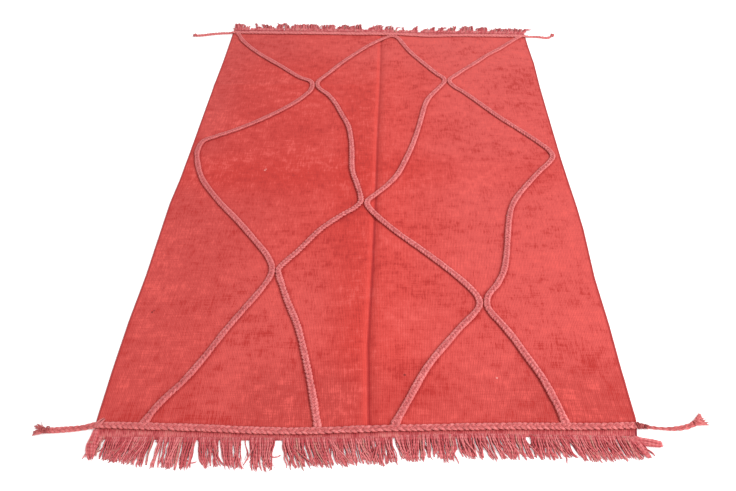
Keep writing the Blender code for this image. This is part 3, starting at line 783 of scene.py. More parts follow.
def laid_heights(curve, widths):
    """Height of what lies under each point of a curve, as a stiff plait bridges it."""
    ahead = np.gradient(curve[:, :2], axis=0)
    ahead /= np.linalg.norm(ahead, axis=1)[:, None]
    side = np.stack([ahead[:, 1], -ahead[:, 0]], axis=1)
    under = []
    for point, across_way, width in zip(curve, side, widths):
        spread = (point[:2] + across_way * width / 2 * share for share in (-1.0, -0.5, 0.0, 0.5, 1.0))
        under.append(max(cloth_top(x, y) for x, y in spread))
    for pick in (np.max, np.mean):
        padded = np.pad(under, BRIDGE, mode="edge")
        under = pick([padded[i : i + len(under)] for i in range(2 * BRIDGE + 1)], axis=0)
    return under


def ramp(value, start, length):
    """0 up to a start, and 1 from a length past it."""
    return np.clip((value - start) / length, 0.0, 1.0)


def plaited(curve, widths, heights, lay, seed, tuck=(0.0, 0.0), hollow=1.0):
    """The three strands of a flat plait along a curve.

    tuck is how far each end dips down, and hollow the strength of the painted shade at the middle.
    """
    chance = np.random.default_rng(seed)
    points = np.column_stack([curve[:, :2], laid_heights(curve, widths)])
    run = run_along(points)
    at = np.linspace(0.0, run[-1], round(run[-1] / lay * STEPS_A_LAY) + 1)
    centre = np.stack([np.interp(at, run, points[:, k]) for k in range(3)], axis=1)
    pulls = np.arange(0.0, run[-1] + 0.1, PULL_STEP)
    unevenness = np.interp(at, pulls, chance.normal(0.0, 1.0, len(pulls)))
    width = np.interp(at, run, widths) * (1 + PULL_WIDTH * unevenness)
    height = np.interp(at, run, heights)
    for share, dip in ((at, tuck[0]), (run[-1] - at, tuck[1])):
        height = height * (1 - dip * np.clip(1 - share / TUCK_LENGTH, 0.0, 1.0))
    _, side, up = directions(centre, True)
    phase = 2 * math.pi * at / lay + PULL_LAY * np.cumsum(unevenness) / STEPS_A_LAY
    broad = width * STRAND_BROAD
    thick = height * STRAND_THICK
    round_it = np.cos(np.arange(STRAND_SIDES) / STRAND_SIDES * 2 * math.pi)
    yarns = []
    for k in range(3):
        turn_k = phase + 2 * math.pi * k / 3 + WOBBLE * np.sin(at * WOBBLE_RATE + seed + 2.1 * k)
        sway = np.sin(turn_k)
        lift = np.sin(2 * turn_k)
        aside = side * ((width - broad) / 2 * sway)[:, None]
        path = centre + aside + up * (height / 2 + (height - thick) / 2 * lift)[:, None]
        share = np.abs((1 - STRAND_BROAD) * sway[:, None] + STRAND_BROAD * round_it[None, :])
        low = HOLLOW - HOLLOW_FADE * share**1.2 - HOLLOW_LIFT * lift[:, None]
        low = hollow * np.clip(low, 0.0, 1.0)
        rim = ramp(share, RIM_FROM, RIM_LENGTH) + ramp(share, FLANK_FROM, FLANK_LENGTH)
        tone = 0.25 + 0.5 * chance.random()
        yarns.append(Yarn(path, broad, thick, True, STRAND_SIDES, 0.0, 1.0, tone, low, rim))
    return yarns


def end_side(stop):
    """Where a field plait goes in under the side of an end plait."""
    table, inwards = (NEAR_PLAIT, 1) if stop.end == "near" else (FAR_PLAIT, -1)
    half = between(table, "x", "width", stop.x) / 2
    return stop.x, between(table, "x", "y", stop.x) + inwards * (half - TUCK_IN), 0.0


PINK = (0.600, 0.130, 0.130)
# paler dye, and also the painted highlight on the strands' outer parts
PINK_PALE_AND_HIGHLIGHT = (0.740, 0.238, 0.234)
PINK_DULL = (0.435, 0.088, 0.088)
# the plaits duller towards the left: painted shade, away from the window
PINK_LEFT_SHADE = (0.470, 0.100, 0.102)
# deep red dye, and also the painted shade between the yarns and where a strand dives under
PINK_DEEP_AND_SHADE = (0.350, 0.046, 0.049)
PINK_GROUND_LIGHT = (0.820, 0.130, 0.118)  # the outer yarns, with painted red light from the ground
YARNS_ROUND = 8.0  # yarns side by side round a strand
YARN_TWIST = 0.060  # length in which they go once round it
PLAIT_DEPTH = 0.0011

tree, shader, pink_plait = wool("pink_plait")
_, along, round_share = uv_axes(tree, "yarn")
yarn_count = weighted((round_share, YARNS_ROUND), (along, 1 / YARN_TWIST))
yarn_tops = ridged(yarn_count)
where = tree.nodes.new("ShaderNodeTexCoord").outputs["Object"]
place = add_node(tree, "ShaderNodeSeparateXYZ", {0: where})
mottle, fuzz = add_fibres(where)
yarn_number = math_node("FLOOR", yarn_count)
each_yarn = add_node(tree, "ShaderNodeTexWhiteNoise", {"W": yarn_number}, noise_dimensions="1D")
tone = attribute_node(tree, "tone")
rim = attribute_node(tree, "rim")
dye = weighted(
    (noise_node(where, 30.0), 0.34),
    (remapped(noise_node(where, 150.0, 2.0, 0.6), 0.38, 0.62), 0.26),
    (each_yarn.outputs["Value"], 0.14),
    (tone, 0.22),
)
pale_dye = remapped(dye, 0.48, 0.66, 0.0, 0.7)
# Painted highlight on the strands' outer parts.
rim_highlight = remapped(rim, 0.0, 1.0, 0.0, 0.42)
dyed = layered(
    PINK,
    (remapped(dye, 0.50, 0.36), PINK_DULL),
    (math_node("ADD", pale_dye, rim_highlight, clamp=True), PINK_PALE_AND_HIGHLIGHT),
    # Painted shade towards the left, away from the window.
    (remapped(place.outputs["X"], 0.0, -0.80, 0.0, 0.30), PINK_LEFT_SHADE),
    # Painted red light from the ground on the strands' flanks.
    (remapped(rim, 1.0, 2.0, 0.0, 0.65), PINK_GROUND_LIGHT),
    # Painted shade between the yarns and, from the low attribute, where a strand dives under the others.
    (remapped(yarn_tops, 0.0, 0.5, 0.45, 0.0), PINK_DEEP_AND_SHADE),
    (remapped(attribute_node(tree, "low"), 0.12, 0.62, 0.0, 0.72), PINK_DEEP_AND_SHADE),
    (remapped(tone, -0.1, -0.9), PINK_DEEP_AND_SHADE),
)
relief = weighted((yarn_tops, 0.6), (fuzz, 0.4))
finish_wool(shader, dyed, mottle, (0.82, 0.97), relief, PLAIT_DEPTH)

for number, (node, (start_stop, points, end_stop)) in enumerate(ROUTES.items()):
    route = [end_side(start_stop), *((x, y, 0.0) for x, y in points), end_side(end_stop)]
    curve = smooth(route, FINE_STEP)
    widths = np.full(len(curve), PLAIT_WIDTH)
    flare = 1 + np.linspace(0.0, FLARE, 7)[1:]
    if end_stop.end == "near":
        widths[-len(flare) :] *= flare
    if start_stop.end == "near":
        widths[: len(flare)] *= flare[::-1]
    heights = np.full(len(curve), PLAIT_HEIGHT)
    yarns = plaited(curve, widths, heights, PLAIT_LAY, 3 + number, (TUCK_DIP, TUCK_DIP))
    plait = spin_yarns(node.replace("field_braid", "field_plait"), yarns, pink_plait)
    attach(plait, "root")
    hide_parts(node)


# ---------------------------------------------------------------------------
# The plaits across the ends: sewn over the edge of the field, with a thinner
# free tail past each side. The near tails are bound with wrappings and end in
# brushes of loose yarn, and the far ones end in knots.
# ---------------------------------------------------------------------------

TAIL_YARN = 0.0030
BRUSH_ROOT = 0.0034  # how high the loose yarns start, and what each layer of them adds
BRUSH_LAYER = 0.0012
BRUSH_LAY = 0.012
BRUSH_LENGTHS = (0.82, 1.06)  # shares of a brush's length and thickness that its yarns have
BRUSH_THICKS = (0.8, 1.15)
BRUSH_TONES = (-0.3, 0.3)
END_FLATNESS = 0.82  # the share of its height that an end plait fills once it is sewn down


def end_plait(table, seed, lighter_by):
    """The strands of an end plait, made paler by the given amount."""
    curve = smooth([(row.x, row.y, 0.0) for row in table], FINE_STEP)
    widths = np.array([between(table, "x", "width", x) for x in curve[:, 0]])
    heights = np.array([between(table, "x", "height", x) for x in curve[:, 0]])
    yarns = plaited(curve, widths, heights * END_FLATNESS, END_PLAIT_LAY, seed, hollow=0.7)
    return [yarn._replace(tone=yarn.tone + lighter_by) for yarn in yarns]


def brush(start, tip, root_width, tip_width, count, seed, thick=TAIL_YARN, lift=0.0, tone=0.5):
    """Loose yarn ends that spread from the end of a plait towards a tip, lying on the floor."""
    chance = np.random.default_rng(seed)
    start, tip = np.array(start), np.array(tip)
    way = (tip - start) / np.linalg.norm(tip - start)
    across = np.array((way[1], -way[0]))
    t = np.linspace(0.0, 1.0, 12)
    yarns = []
    for i in range(count):
        share = (i + 0.5) / count - 0.5 + chance.uniform(-0.06, 0.06)
        reach = np.linalg.norm(tip - start) * chance.uniform(*BRUSH_LENGTHS)
        aside = share * (root_width + (tip_width - root_width) * t**1.3) + chance.normal(0.0, 0.0008) * t
        aside = aside + 0.0011 * np.sin(t * chance.uniform(5.0, 9.0) + chance.uniform(0.0, 6.0)) * t
        flat = start + way * (reach * t)[:, None] + across * aside[:, None]
        size = thick * chance.uniform(*BRUSH_THICKS) * (1 - 0.55 * t**3)
        height = size / 2 + BRUSH_ROOT * (1 - t) * chance.uniform(0.3, 1.2)
        height = height + lift * t * chance.uniform(0.5, 1.0)
        path = np.column_stack([flat, height + (i % 3) * BRUSH_LAYER * (1 - 0.4 * t)])
        own_tone = tone + chance.uniform(*BRUSH_TONES)
        # The low value is painted shade towards each yarn's root.
        yarns.append(Yarn(path, size, size, False, 6, 0.12, BRUSH_LAY, own_tone, 0.1 * (1 - t), 0.4 * t))
    return yarns


def wrapping(middle, heading, width, height, turns, thick, pitch, tone):
    """A yarn wound round a plait at a place, across its heading."""
    way = np.array((math.cos(heading), math.sin(heading), 0.0))
    side = np.array((way[1], -way[0], 0.0))
    t = np.linspace(0.0, turns * 2 * math.pi, turns * 14 + 1)
    path = (
        np.array(middle)
        + way * ((t / (2 * math.pi) - turns / 2) * pitch)[:, None]
        + side * (np.cos(t) * width / 2)[:, None]
        + np.array((0.0, 0.0, 1.0)) * (np.sin(t) * height / 2)[:, None]
    )
    return [Yarn(path, thick, thick, False, 6, 0.0, 1.0, tone, 0.0, 0.0)]


def knot(middle, size, height, thick, turn, tone):
    """An overhand knot pulled nearly tight, flat on what it lies on."""
    t = np.linspace(0.0, 2 * math.pi, 49)[:-1]
    t = np.append(t, 2 * math.pi + 0.02)
    x = (np.sin(t) + 2 * np.sin(2 * t)) / 6 * (size - thick)
    y = (np.cos(t) - 2 * np.cos(2 * t)) / 6 * (size - thick)
    z = -np.sin(3 * t) / 2 * (height - thick)
    c, s = math.cos(turn), math.sin(turn)
    path = np.stack([x * c - y * s, x * s + y * c, z], axis=1) + np.array(middle)
    return [Yarn(path, thick, thick * 0.9, False, 8, 0.08, 0.02, tone, 0.0, 0.25)]


# A wrapping has its middle, heading, width, height, turns, yarn, pitch and tone. A brush has its start and
# tip, its width at both, its count, seed, yarn, lift and tone.
near_table = (EndPlait(-1.016, -1.3375, 0.020, 0.0095), *NEAR_PLAIT)
near_yarns = end_plait(near_table, 11, -0.15)
near_yarns += wrapping((-0.990, -1.3352, 0.0082), 0.08, 0.0225, 0.0120, 2, 0.0034, 0.0040, -0.25)
near_yarns += wrapping((-1.006, -1.3368, 0.0074), 0.08, 0.0210, 0.0110, 2, 0.0030, 0.0060, 0.05)
near_yarns += brush((-1.008, -1.332), (-1.037, -1.320), 0.012, 0.014, 5, 31, 0.0066, 0.003)
near_yarns += brush((-1.008, -1.341), (-1.037, -1.347), 0.012, 0.013, 5, 32, 0.0066)
near_yarns += brush((-1.008, -1.330), (-1.021, -1.306), 0.004, 0.003, 2, 33, 0.0030, 0.006, 0.1)
near_yarns += brush((-0.842, -1.320), (-0.818, -1.298), 0.020, 0.013, 8, 39, 0.0080, 0.017, 2.4)
near_yarns += wrapping((0.851, -1.2945, 0.0088), 0.30, 0.0215, 0.0125, 2, 0.0044, 0.0054, -0.45)
near_yarns += wrapping((0.863, -1.2955, 0.0078), -0.18, 0.0165, 0.0110, 2, 0.0036, 0.0046, 0.3)
near_yarns += wrapping((0.8755, -1.2965, 0.0072), -0.45, 0.0145, 0.0105, 3, 0.0026, 0.0036, -0.6)
near_yarns += brush((1.032, -1.279), (1.056, -1.249), 0.010, 0.014, 5, 34, 0.0064, 0.003, 0.7)
near_yarns += brush((1.026, -1.283), (1.074, -1.278), 0.010, 0.011, 5, 35, 0.0062, 0.0, 0.7)
near_yarns += brush((1.025, -1.282), (1.065, -1.264), 0.011, 0.021, 7, 36, 0.0062, 0.002, 0.8)
near_plait = spin_yarns("end_plait_near", near_yarns, pink_plait)

# The far end plait is made paler: a painted sheen, as wool shines when seen from a low angle.
far_yarns = end_plait(FAR_PLAIT, 12, 0.55)
far_yarns += knot((-1.060, 1.3055, 0.0084), 0.0255, 0.0150, 0.0090, 0.2, 0.1)
far_yarns += brush((-1.064, 1.306), (-1.0745, 1.3075), 0.008, 0.010, 5, 37)
far_yarns += knot((1.003, 1.2860, 0.0098), 0.0270, 0.0180, 0.0095, 1.2, 0.1)
far_yarns += brush((1.006, 1.288), (1.0165, 1.3060), 0.010, 0.008, 7, 38, lift=0.008, tone=0.2)
far_plait = spin_yarns("end_plait_far", far_yarns, pink_plait)
for plait, node in ((near_plait, "end_braid_near"), (far_plait, "end_braid_far")):
    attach(plait, "root")
    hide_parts(node)


# ---------------------------------------------------------------------------
# The fringes: the warp ends past the weave, in twisted cords that lie in
# tufts. They lean outwards at the corners, and curl up at the far end.
# ---------------------------------------------------------------------------

CORD_PITCH = 0.0032
CORD_THICK = 0.0050
CORD_LAY = 0.024
CORD_LOBE = 0.17  # how far its two plies stand out
CORD_OVER = 0.0032  # how far every other cord is lifted over its neighbours
CORD_LENGTHS = (0.86, 1.03)  # shares of a cord's length and thickness that cords have
CORD_THICKS = (0.80, 1.15)
CORD_TONES = (-0.25, 0.35, 0.75, 1.0)
TONE_SPREAD = 0.12
ROOT_SPREAD = 0.0008
TIP_SPREAD = 0.0062
ROOT_IN = 0.007  # length of a cord that lies on the weave
ROOT_CLEAR = 0.0003
CORNER_CLEAR = 0.0004
DROP_LENGTH = 0.016  # length in which it then comes down to the floor
STRAY_SHARE = 0.07
STRAY_SPREAD = 0.008  # how much wider the tips of stray cords spread
STRAY_THICK = 0.6
OLIVE_SHARE = 0.035  # cords of a stray olive wool
OLIVE_TONE = 1.5
THIN_CORD = 0.0028
HAIR_THICK = 0.0013
HAIR_SHARE = 0.40
BED_WIDTH = 0.0072
BED_THICK = 0.0014
FLANKS = np.array((1.0, 0.0, 0.0, 1.0, 0.0, 0.0))  # painted shade on the two sides of a cord
Clump = namedtuple("Clump", "root_from root_to tip_from tip_to reach_from reach_to")
Tuft = namedtuple("Tuft", "path width count")
NEAR_CLUMPS = rows_of(
    Clump,
    (-0.838, -0.806, -0.842, -0.824, 0.066, 0.058), (-0.799, -0.760, -0.796, -0.768, 0.068, 0.076),
    (-0.760, -0.722, -0.768, -0.732, 0.076, 0.080), (-0.722, -0.690, -0.738, -0.706, 0.082, 0.086),
    (-0.690, -0.648, -0.704, -0.662, 0.090, 0.094), (-0.636, -0.620, -0.633, -0.616, 0.096, 0.098),
    (-0.617, -0.604, -0.606, -0.600, 0.092, 0.096), (-0.602, -0.560, -0.594, -0.559, 0.100, 0.104),
    (-0.557, -0.535, -0.551, -0.534, 0.102, 0.104), (-0.535, -0.517, -0.537, -0.524, 0.098, 0.102),
    (-0.511, -0.484, -0.486, -0.462, 0.092, 0.100), (-0.484, -0.448, -0.461, -0.440, 0.088, 0.096),
    (-0.443, -0.408, -0.413, -0.392, 0.096, 0.100), (-0.406, -0.379, -0.388, -0.362, 0.090, 0.104),
    (-0.352, -0.318, -0.330, -0.308, 0.102, 0.104), (-0.318, -0.274, -0.302, -0.272, 0.104, 0.107),
    (-0.250, -0.228, -0.222, -0.208, 0.094, 0.098), (-0.226, -0.206, -0.206, -0.188, 0.098, 0.100),
    (-0.204, -0.180, -0.172, -0.154, 0.096, 0.100), (-0.180, -0.140, -0.146, -0.126, 0.088, 0.096),
    (-0.140, -0.108, -0.108, -0.086, 0.096, 0.098), (-0.108, -0.084, -0.072, -0.054, 0.088, 0.094),
    (-0.084, -0.056, -0.056, -0.036, 0.090, 0.094), (-0.056, -0.028, -0.030, -0.008, 0.088, 0.092),
    (-0.028, 0.000, 0.000, 0.022, 0.080, 0.086), (0.000, 0.034, 0.028, 0.050, 0.086, 0.092),
    (0.034, 0.062, 0.050, 0.072, 0.092, 0.096), (0.062, 0.087, 0.090, 0.106, 0.086, 0.090),
    (0.095, 0.140, 0.122, 0.152, 0.076, 0.082), (0.140, 0.190, 0.152, 0.186, 0.082, 0.084),
    (0.190, 0.214, 0.208, 0.224, 0.074, 0.080), (0.214, 0.242, 0.220, 0.243, 0.080, 0.080),
    (0.244, 0.262, 0.256, 0.268, 0.088, 0.090), (0.262, 0.284, 0.274, 0.284, 0.080, 0.084),
    (0.284, 0.330, 0.306, 0.344, 0.072, 0.078), (0.330, 0.376, 0.346, 0.394, 0.078, 0.086),
    (0.382, 0.420, 0.412, 0.438, 0.080, 0.080), (0.420, 0.462, 0.440, 0.468, 0.078, 0.080),
    (0.462, 0.497, 0.482, 0.506, 0.078, 0.080), (0.510, 0.548, 0.516, 0.552, 0.076, 0.078),
    (0.548, 0.594, 0.562, 0.604, 0.078, 0.072), (0.594, 0.640, 0.625, 0.666, 0.066, 0.076),
    (0.640, 0.690, 0.668, 0.706, 0.080, 0.082), (0.690, 0.730, 0.708, 0.744, 0.078, 0.082),
    (0.730, 0.770, 0.746, 0.788, 0.074, 0.080), (0.770, 0.812, 0.790, 0.836, 0.070, 0.074),
    (0.808, 0.842, 0.832, 0.872, 0.070, 0.064),
)
NEAR_CROSSING = rows_of(
    Clump,
    (-0.738, -0.716, -0.778, -0.760, 0.074, 0.080), (-0.692, -0.666, -0.728, -0.708, 0.078, 0.086),
    (-0.580, -0.566, -0.606, -0.596, 0.090, 0.096), (-0.472, -0.460, -0.440, -0.428, 0.086, 0.092),
    (-0.330, -0.320, -0.352, -0.344, 0.080, 0.088), (-0.236, -0.220, -0.188, -0.174, 0.088, 0.096),
    (-0.168, -0.150, -0.116, -0.100, 0.086, 0.094), (-0.112, -0.100, -0.052, -0.042, 0.080, 0.088),
    (-0.022, -0.008, 0.034, 0.046, 0.078, 0.086), (0.046, 0.056, 0.028, 0.036, 0.084, 0.090),
    (0.160, 0.172, 0.134, 0.144, 0.074, 0.080), (0.292, 0.306, 0.326, 0.338, 0.068, 0.076),
    (0.428, 0.440, 0.462, 0.474, 0.070, 0.076), (0.484, 0.494, 0.508, 0.520, 0.074, 0.080),
    (0.562, 0.576, 0.594, 0.606, 0.068, 0.074), (0.660, 0.680, 0.704, 0.722, 0.070, 0.080),
    (0.726, 0.742, 0.776, 0.790, 0.064, 0.074),
)
NEAR_TUFTS = rows_of(
    Tuft,
    (((-0.838, -1.330), (-0.838, -1.364), (-0.838, -1.388), (-0.833, -1.408), (-0.825, -1.434)),
     (0.014, 0.026, 0.032, 0.030, 0.016), 26),
    (((-0.832, -1.412), (-0.822, -1.412), (-0.812, -1.408), (-0.802, -1.398), (-0.799, -1.384)),
     (0.004, 0.003, 0.003, 0.003, 0.004), 3),
    (((-0.281, -1.412), (-0.270, -1.418), (-0.260, -1.416), (-0.246, -1.408)),
     (0.004, 0.004, 0.003, 0.002), 3),
    (((-0.388, -1.404), (-0.378, -1.424), (-0.370, -1.440), (-0.360, -1.458)),
     (0.006, 0.005, 0.005, 0.006), 4),
    (((-0.365, -1.352), (-0.361, -1.380), (-0.352, -1.402), (-0.346, -1.428)),
     (0.003, 0.003, 0.003, 0.002), 2),
    (((-0.530, -1.434), (-0.516, -1.441), (-0.504, -1.437), (-0.494, -1.428)),
     (0.004, 0.003, 0.002, 0.002), 2),
    (((-0.640, -1.366), (-0.634, -1.372), (-0.628, -1.366), (-0.626, -1.358)),
     (0.004, 0.004, 0.004, 0.002), 3),
    (((0.599, -1.370), (0.607, -1.392), (0.612, -1.410), (0.611, -1.425)),
     (0.004, 0.003, 0.003, 0.002), 2),
    (((0.826, -1.340), (0.857, -1.350), (0.885, -1.354), (0.912, -1.358)),
     (0.026, 0.032, 0.028, 0.024), 20),
    (((0.820, -1.334), (0.836, -1.362), (0.849, -1.385), (0.863, -1.405)),
     (0.022, 0.022, 0.020, 0.014), 14),
)
FAR_CLUMPS = rows_of(
    Clump,
    (-0.840, -0.790, -0.845, -0.800, 0.080, 0.068), (-0.790, -0.755, -0.795, -0.755, 0.060, 0.044),
    (-0.712, -0.696, -0.731, -0.723, 0.088, 0.080), (-0.700, -0.672, -0.712, -0.690, 0.034, 0.030),
    (-0.665, -0.635, -0.682, -0.658, 0.076, 0.066), (-0.635, -0.606, -0.656, -0.616, 0.056, 0.026),
    (-0.592, -0.558, -0.580, -0.552, 0.060, 0.094), (-0.542, -0.512, -0.552, -0.530, 0.094, 0.062),
    (-0.512, -0.492, -0.512, -0.490, 0.050, 0.052), (-0.492, -0.450, -0.490, -0.450, 0.070, 0.072),
    (-0.450, -0.412, -0.448, -0.414, 0.072, 0.068), (-0.410, -0.352, -0.405, -0.357, 0.070, 0.072),
    (-0.352, -0.338, -0.350, -0.336, 0.064, 0.058), (-0.326, -0.288, -0.320, -0.286, 0.070, 0.074),
    (-0.288, -0.246, -0.284, -0.247, 0.076, 0.070), (-0.236, -0.205, -0.224, -0.200, 0.040, 0.076),
    (-0.205, -0.160, -0.200, -0.165, 0.080, 0.058), (-0.160, -0.130, -0.160, -0.132, 0.052, 0.066),
    (-0.130, -0.085, -0.130, -0.094, 0.076, 0.072), (-0.055, -0.030, -0.030, -0.015, 0.026, 0.048),
    (-0.030, 0.000, -0.020, 0.008, 0.066, 0.086), (0.000, 0.034, 0.008, 0.030, 0.092, 0.046),
    (0.044, 0.062, 0.052, 0.062, 0.068, 0.076), (0.062, 0.100, 0.066, 0.098, 0.076, 0.056),
    (0.148, 0.158, 0.151, 0.154, 0.050, 0.048), (0.198, 0.236, 0.224, 0.237, 0.034, 0.082),
    (0.252, 0.285, 0.284, 0.302, 0.012, 0.036), (0.300, 0.335, 0.325, 0.346, 0.032, 0.060),
    (0.352, 0.378, 0.378, 0.397, 0.028, 0.062), (0.400, 0.425, 0.425, 0.445, 0.028, 0.058),
    (0.425, 0.450, 0.445, 0.463, 0.048, 0.064), (0.470, 0.500, 0.500, 0.512, 0.020, 0.080),
    (0.500, 0.540, 0.512, 0.548, 0.082, 0.076), (0.546, 0.562, 0.555, 0.562, 0.084, 0.080),
    (0.575, 0.600, 0.588, 0.606, 0.028, 0.064), (0.600, 0.640, 0.610, 0.645, 0.067, 0.067),
    (0.104, 0.110, 0.128, 0.134, 0.060, 0.052), (0.655, 0.690, 0.675, 0.693, 0.028, 0.056),
    (0.695, 0.725, 0.706, 0.723, 0.050, 0.054), (0.725, 0.750, 0.735, 0.756, 0.044, 0.044),
    (0.752, 0.800, 0.765, 0.810, 0.050, 0.050), (0.800, 0.830, 0.815, 0.848, 0.046, 0.046),
    (0.822, 0.846, 0.858, 0.893, 0.044, 0.044),
)
FAR_BASE = rows_of(
    Clump,
    (-0.838, -0.500, -0.842, -0.500, 0.020, 0.022), (-0.500, 0.236, -0.500, 0.240, 0.022, 0.018),
    (0.252, 0.846, 0.258, 0.856, 0.017, 0.020),
)


def hair(cord, chance):
    """A loose hair that leaves a cord near its tip."""
    start = int(len(cord.path) * chance.uniform(0.5, 0.75))
    bend = np.linspace(0.0, 1.0, len(cord.path) - start)[:, None]
    stray = (chance.normal(0.0, 0.006), chance.normal(0.0, 0.003), chance.uniform(0.0, 0.002))
    path = cord.path[start:] + bend**1.4 * np.array(stray)
    path[:, 2] = np.maximum(path[:, 2], 0.0010)
    return Yarn(path, HAIR_THICK, HAIR_THICK, False, 4, 0.0, 1.0, cord.tone + 0.2, 0.0, 0.3)


def fibre_bed(cord, thick, drop, t):
    """The flat bed of fibres under a cord, which fills the slits between it and the next."""
    path = cord.path[:-2:2] * (1.0, 1.0, 0.0)
    path[:, 2] = np.maximum(cord.path[:-2:2, 2] - 0.5 * thick[:-2:2] * drop[:-2:2], 0.0) + 0.0008
    # The bed is a little darker with painted shade, under the cords.
    return Yarn(path, BED_WIDTH * (1 - 0.5 * t[:-2:2] ** 3), BED_THICK, True, 4, 0.0, 1.0, -0.2, 0.12, 0.0)


def fringe_cords(
    end_line, outwards, clumps, rings, thick_share, curl, ragged, seed, longer=0.0, flank=0.0, dark_tip=0.0
):
    """The twisted cords of a fringe, clump by clump, outwards from an end of the weave.

    curl is how high they rise, ragged how far they stray, longer is added to each length, flank is the
    painted shade on the sides of the cords and at their roots, and dark_tip is how dark their tips are.
    """
    chance = np.random.default_rng(seed)
    t = np.linspace(0.0, 1.0, rings)
    yarns = []
    for clump in clumps:
        swing = chance.normal(0.0, 0.0016) * ragged
        beat, start_beat = chance.uniform(3.0, 7.0), chance.uniform(0.0, 6.0)
        rise_up = curl * chance.uniform(0.3, 1.0)
        shade = chance.uniform(-0.15, 0.15)
        roots = clump.root_to - clump.root_from
        count = max(2, round(roots / CORD_PITCH))
        for j in range(count):
            share = (j + 0.5) / count
            root = clump.root_from + roots * share + chance.uniform(-ROOT_SPREAD, ROOT_SPREAD)
            stray = chance.random() < STRAY_SHARE * ragged
            tip = clump.tip_from + (clump.tip_to - clump.tip_from) * share
            tip = tip + chance.normal(0.0, TIP_SPREAD + STRAY_SPREAD * stray) * ragged
            length = longer + clump.reach_from + (clump.reach_to - clump.reach_from) * share
            length = length * chance.uniform(*CORD_LENGTHS)
            own, kink = chance.normal(0.0, 0.0017), chance.uniform(9.0, 19.0)
            wave = swing * np.sin(t * beat + start_beat) * t + own * np.sin(t * kink + j) * np.sqrt(t)
            x = root + (tip - root) * (0.45 * t + 0.55 * t**2) + wave
            y = between(end_line, "x", "y", root) + outwards * (-ROOT_IN + (length + ROOT_IN) * t)
            thick = CORD_THICK * thick_share * chance.uniform(*CORD_THICKS) * (1 - 0.22 * t**2)
            thick = thick * (STRAY_THICK if stray else 1.0)
            thick[-2:] *= (0.85, 0.5)
            over = (CORD_OVER if (j % 2) else 0.0) * np.sin(math.pi * np.clip(t * 1.1, 0.0, 1.0))
            drop = ramp(t * (length + ROOT_IN), ROOT_IN, DROP_LENGTH)
            drop = drop * drop * (3 - 2 * drop)
            z = (CLOTH_THICK + ROOT_CLEAR) * (1 - drop) + (thick / 2 + over) * drop
            z = z + rise_up * np.sin(math.pi * t**1.4) ** 2 * chance.uniform(0.4, 1.0)
            if chance.random() > OLIVE_SHARE:
                tone = chance.choice(CORD_TONES) + chance.uniform(-TONE_SPREAD, TONE_SPREAD) + shade
            else:
                tone = OLIVE_TONE
            # Painted shade at the roots, on every other cord, which lies under the lifted ones, and on the
            # sides of each cord.
            root_shade = np.exp(-(((t - 0.15) / 0.06) ** 2)) * (j % 3 == 0)
            low = 0.20 * (j % 2 == 0) * np.sin(math.pi * np.clip(t * 1.3, 0.0, 1.0))
            low = low + 0.7 * flank * root_shade + dark_tip * t**2
            low = np.clip(low[:, None] + flank * FLANKS[None, :], 0.0, 1.0)
            path = np.stack([x, y, z], axis=1)
            cord = Yarn(path, thick, thick * 0.92, False, 6, CORD_LOBE, CORD_LAY, tone, low, 0.3 * t)
            yarns.append(cord)
            if chance.random() < HAIR_SHARE:
                yarns.append(hair(cord, chance))
            if 0 < j < count - 1:
                yarns.append(fibre_bed(cord, thick, drop, t))
    return yarns


def corner_cords(tufts, seed):
    """Cords that lie together along a path of their own, past the corners."""
    chance = np.random.default_rng(seed)
    yarns = []
    for tuft in tufts:
        path = smooth([(x, y, 0.0) for x, y in tuft.path], 0.004)
        t = np.linspace(0.0, 1.0, len(path))
        _, side, _ = directions(path, True)
        spread = np.interp(t, np.linspace(0.0, 1.0, len(tuft.width)), tuft.width)
        full = tuft.count > 3
        for i in range(tuft.count):
            share = ((i * 0.618) % 1.0 - 0.5) * 0.85
            thick = (CORD_THICK if full else THIN_CORD) * chance.uniform(0.8, 1.05) * (1 - 0.3 * t**3)
            thick[-2:] *= (0.75, 0.45)
            cord = path + side * (share * spread + 0.0008 * np.sin(t * 9 + i))[:, None]
            layer = (i % 3) * 0.0022 if full else 0.0005
            drop = np.clip(t * 4 - 0.4, 0.0, 1.0)
            lying = thick / 2 + layer * np.sin(math.pi * (0.2 + 0.7 * t))
            cord[:, 2] = (CLOTH_THICK + CORNER_CLEAR) * (1 - drop) + lying * drop
            end = len(cord) - int(chance.integers(0, 5))
            cord, thick, tone = cord[:end], thick[:end], chance.random()
            yarns.append(Yarn(cord, thick, thick, False, 6, CORD_LOBE, CORD_LAY, tone, 0.0, 0.2))
            if i % 2:
                yarns.append(hair(yarns[-1], chance))
    return yarns


FRINGE_ROSE = (0.560, 0.112, 0.122)
FRINGE_PINK = (0.690, 0.205, 0.208)
FRINGE_RED = (0.450, 0.060, 0.070)
FRINGE_OLIVE = (0.440, 0.230, 0.175)
# the painted shade on the cords, and also their darker tips
FRINGE_DEEP_AND_SHADE = (0.280, 0.026, 0.034)
CORD_DEPTH = 0.0008

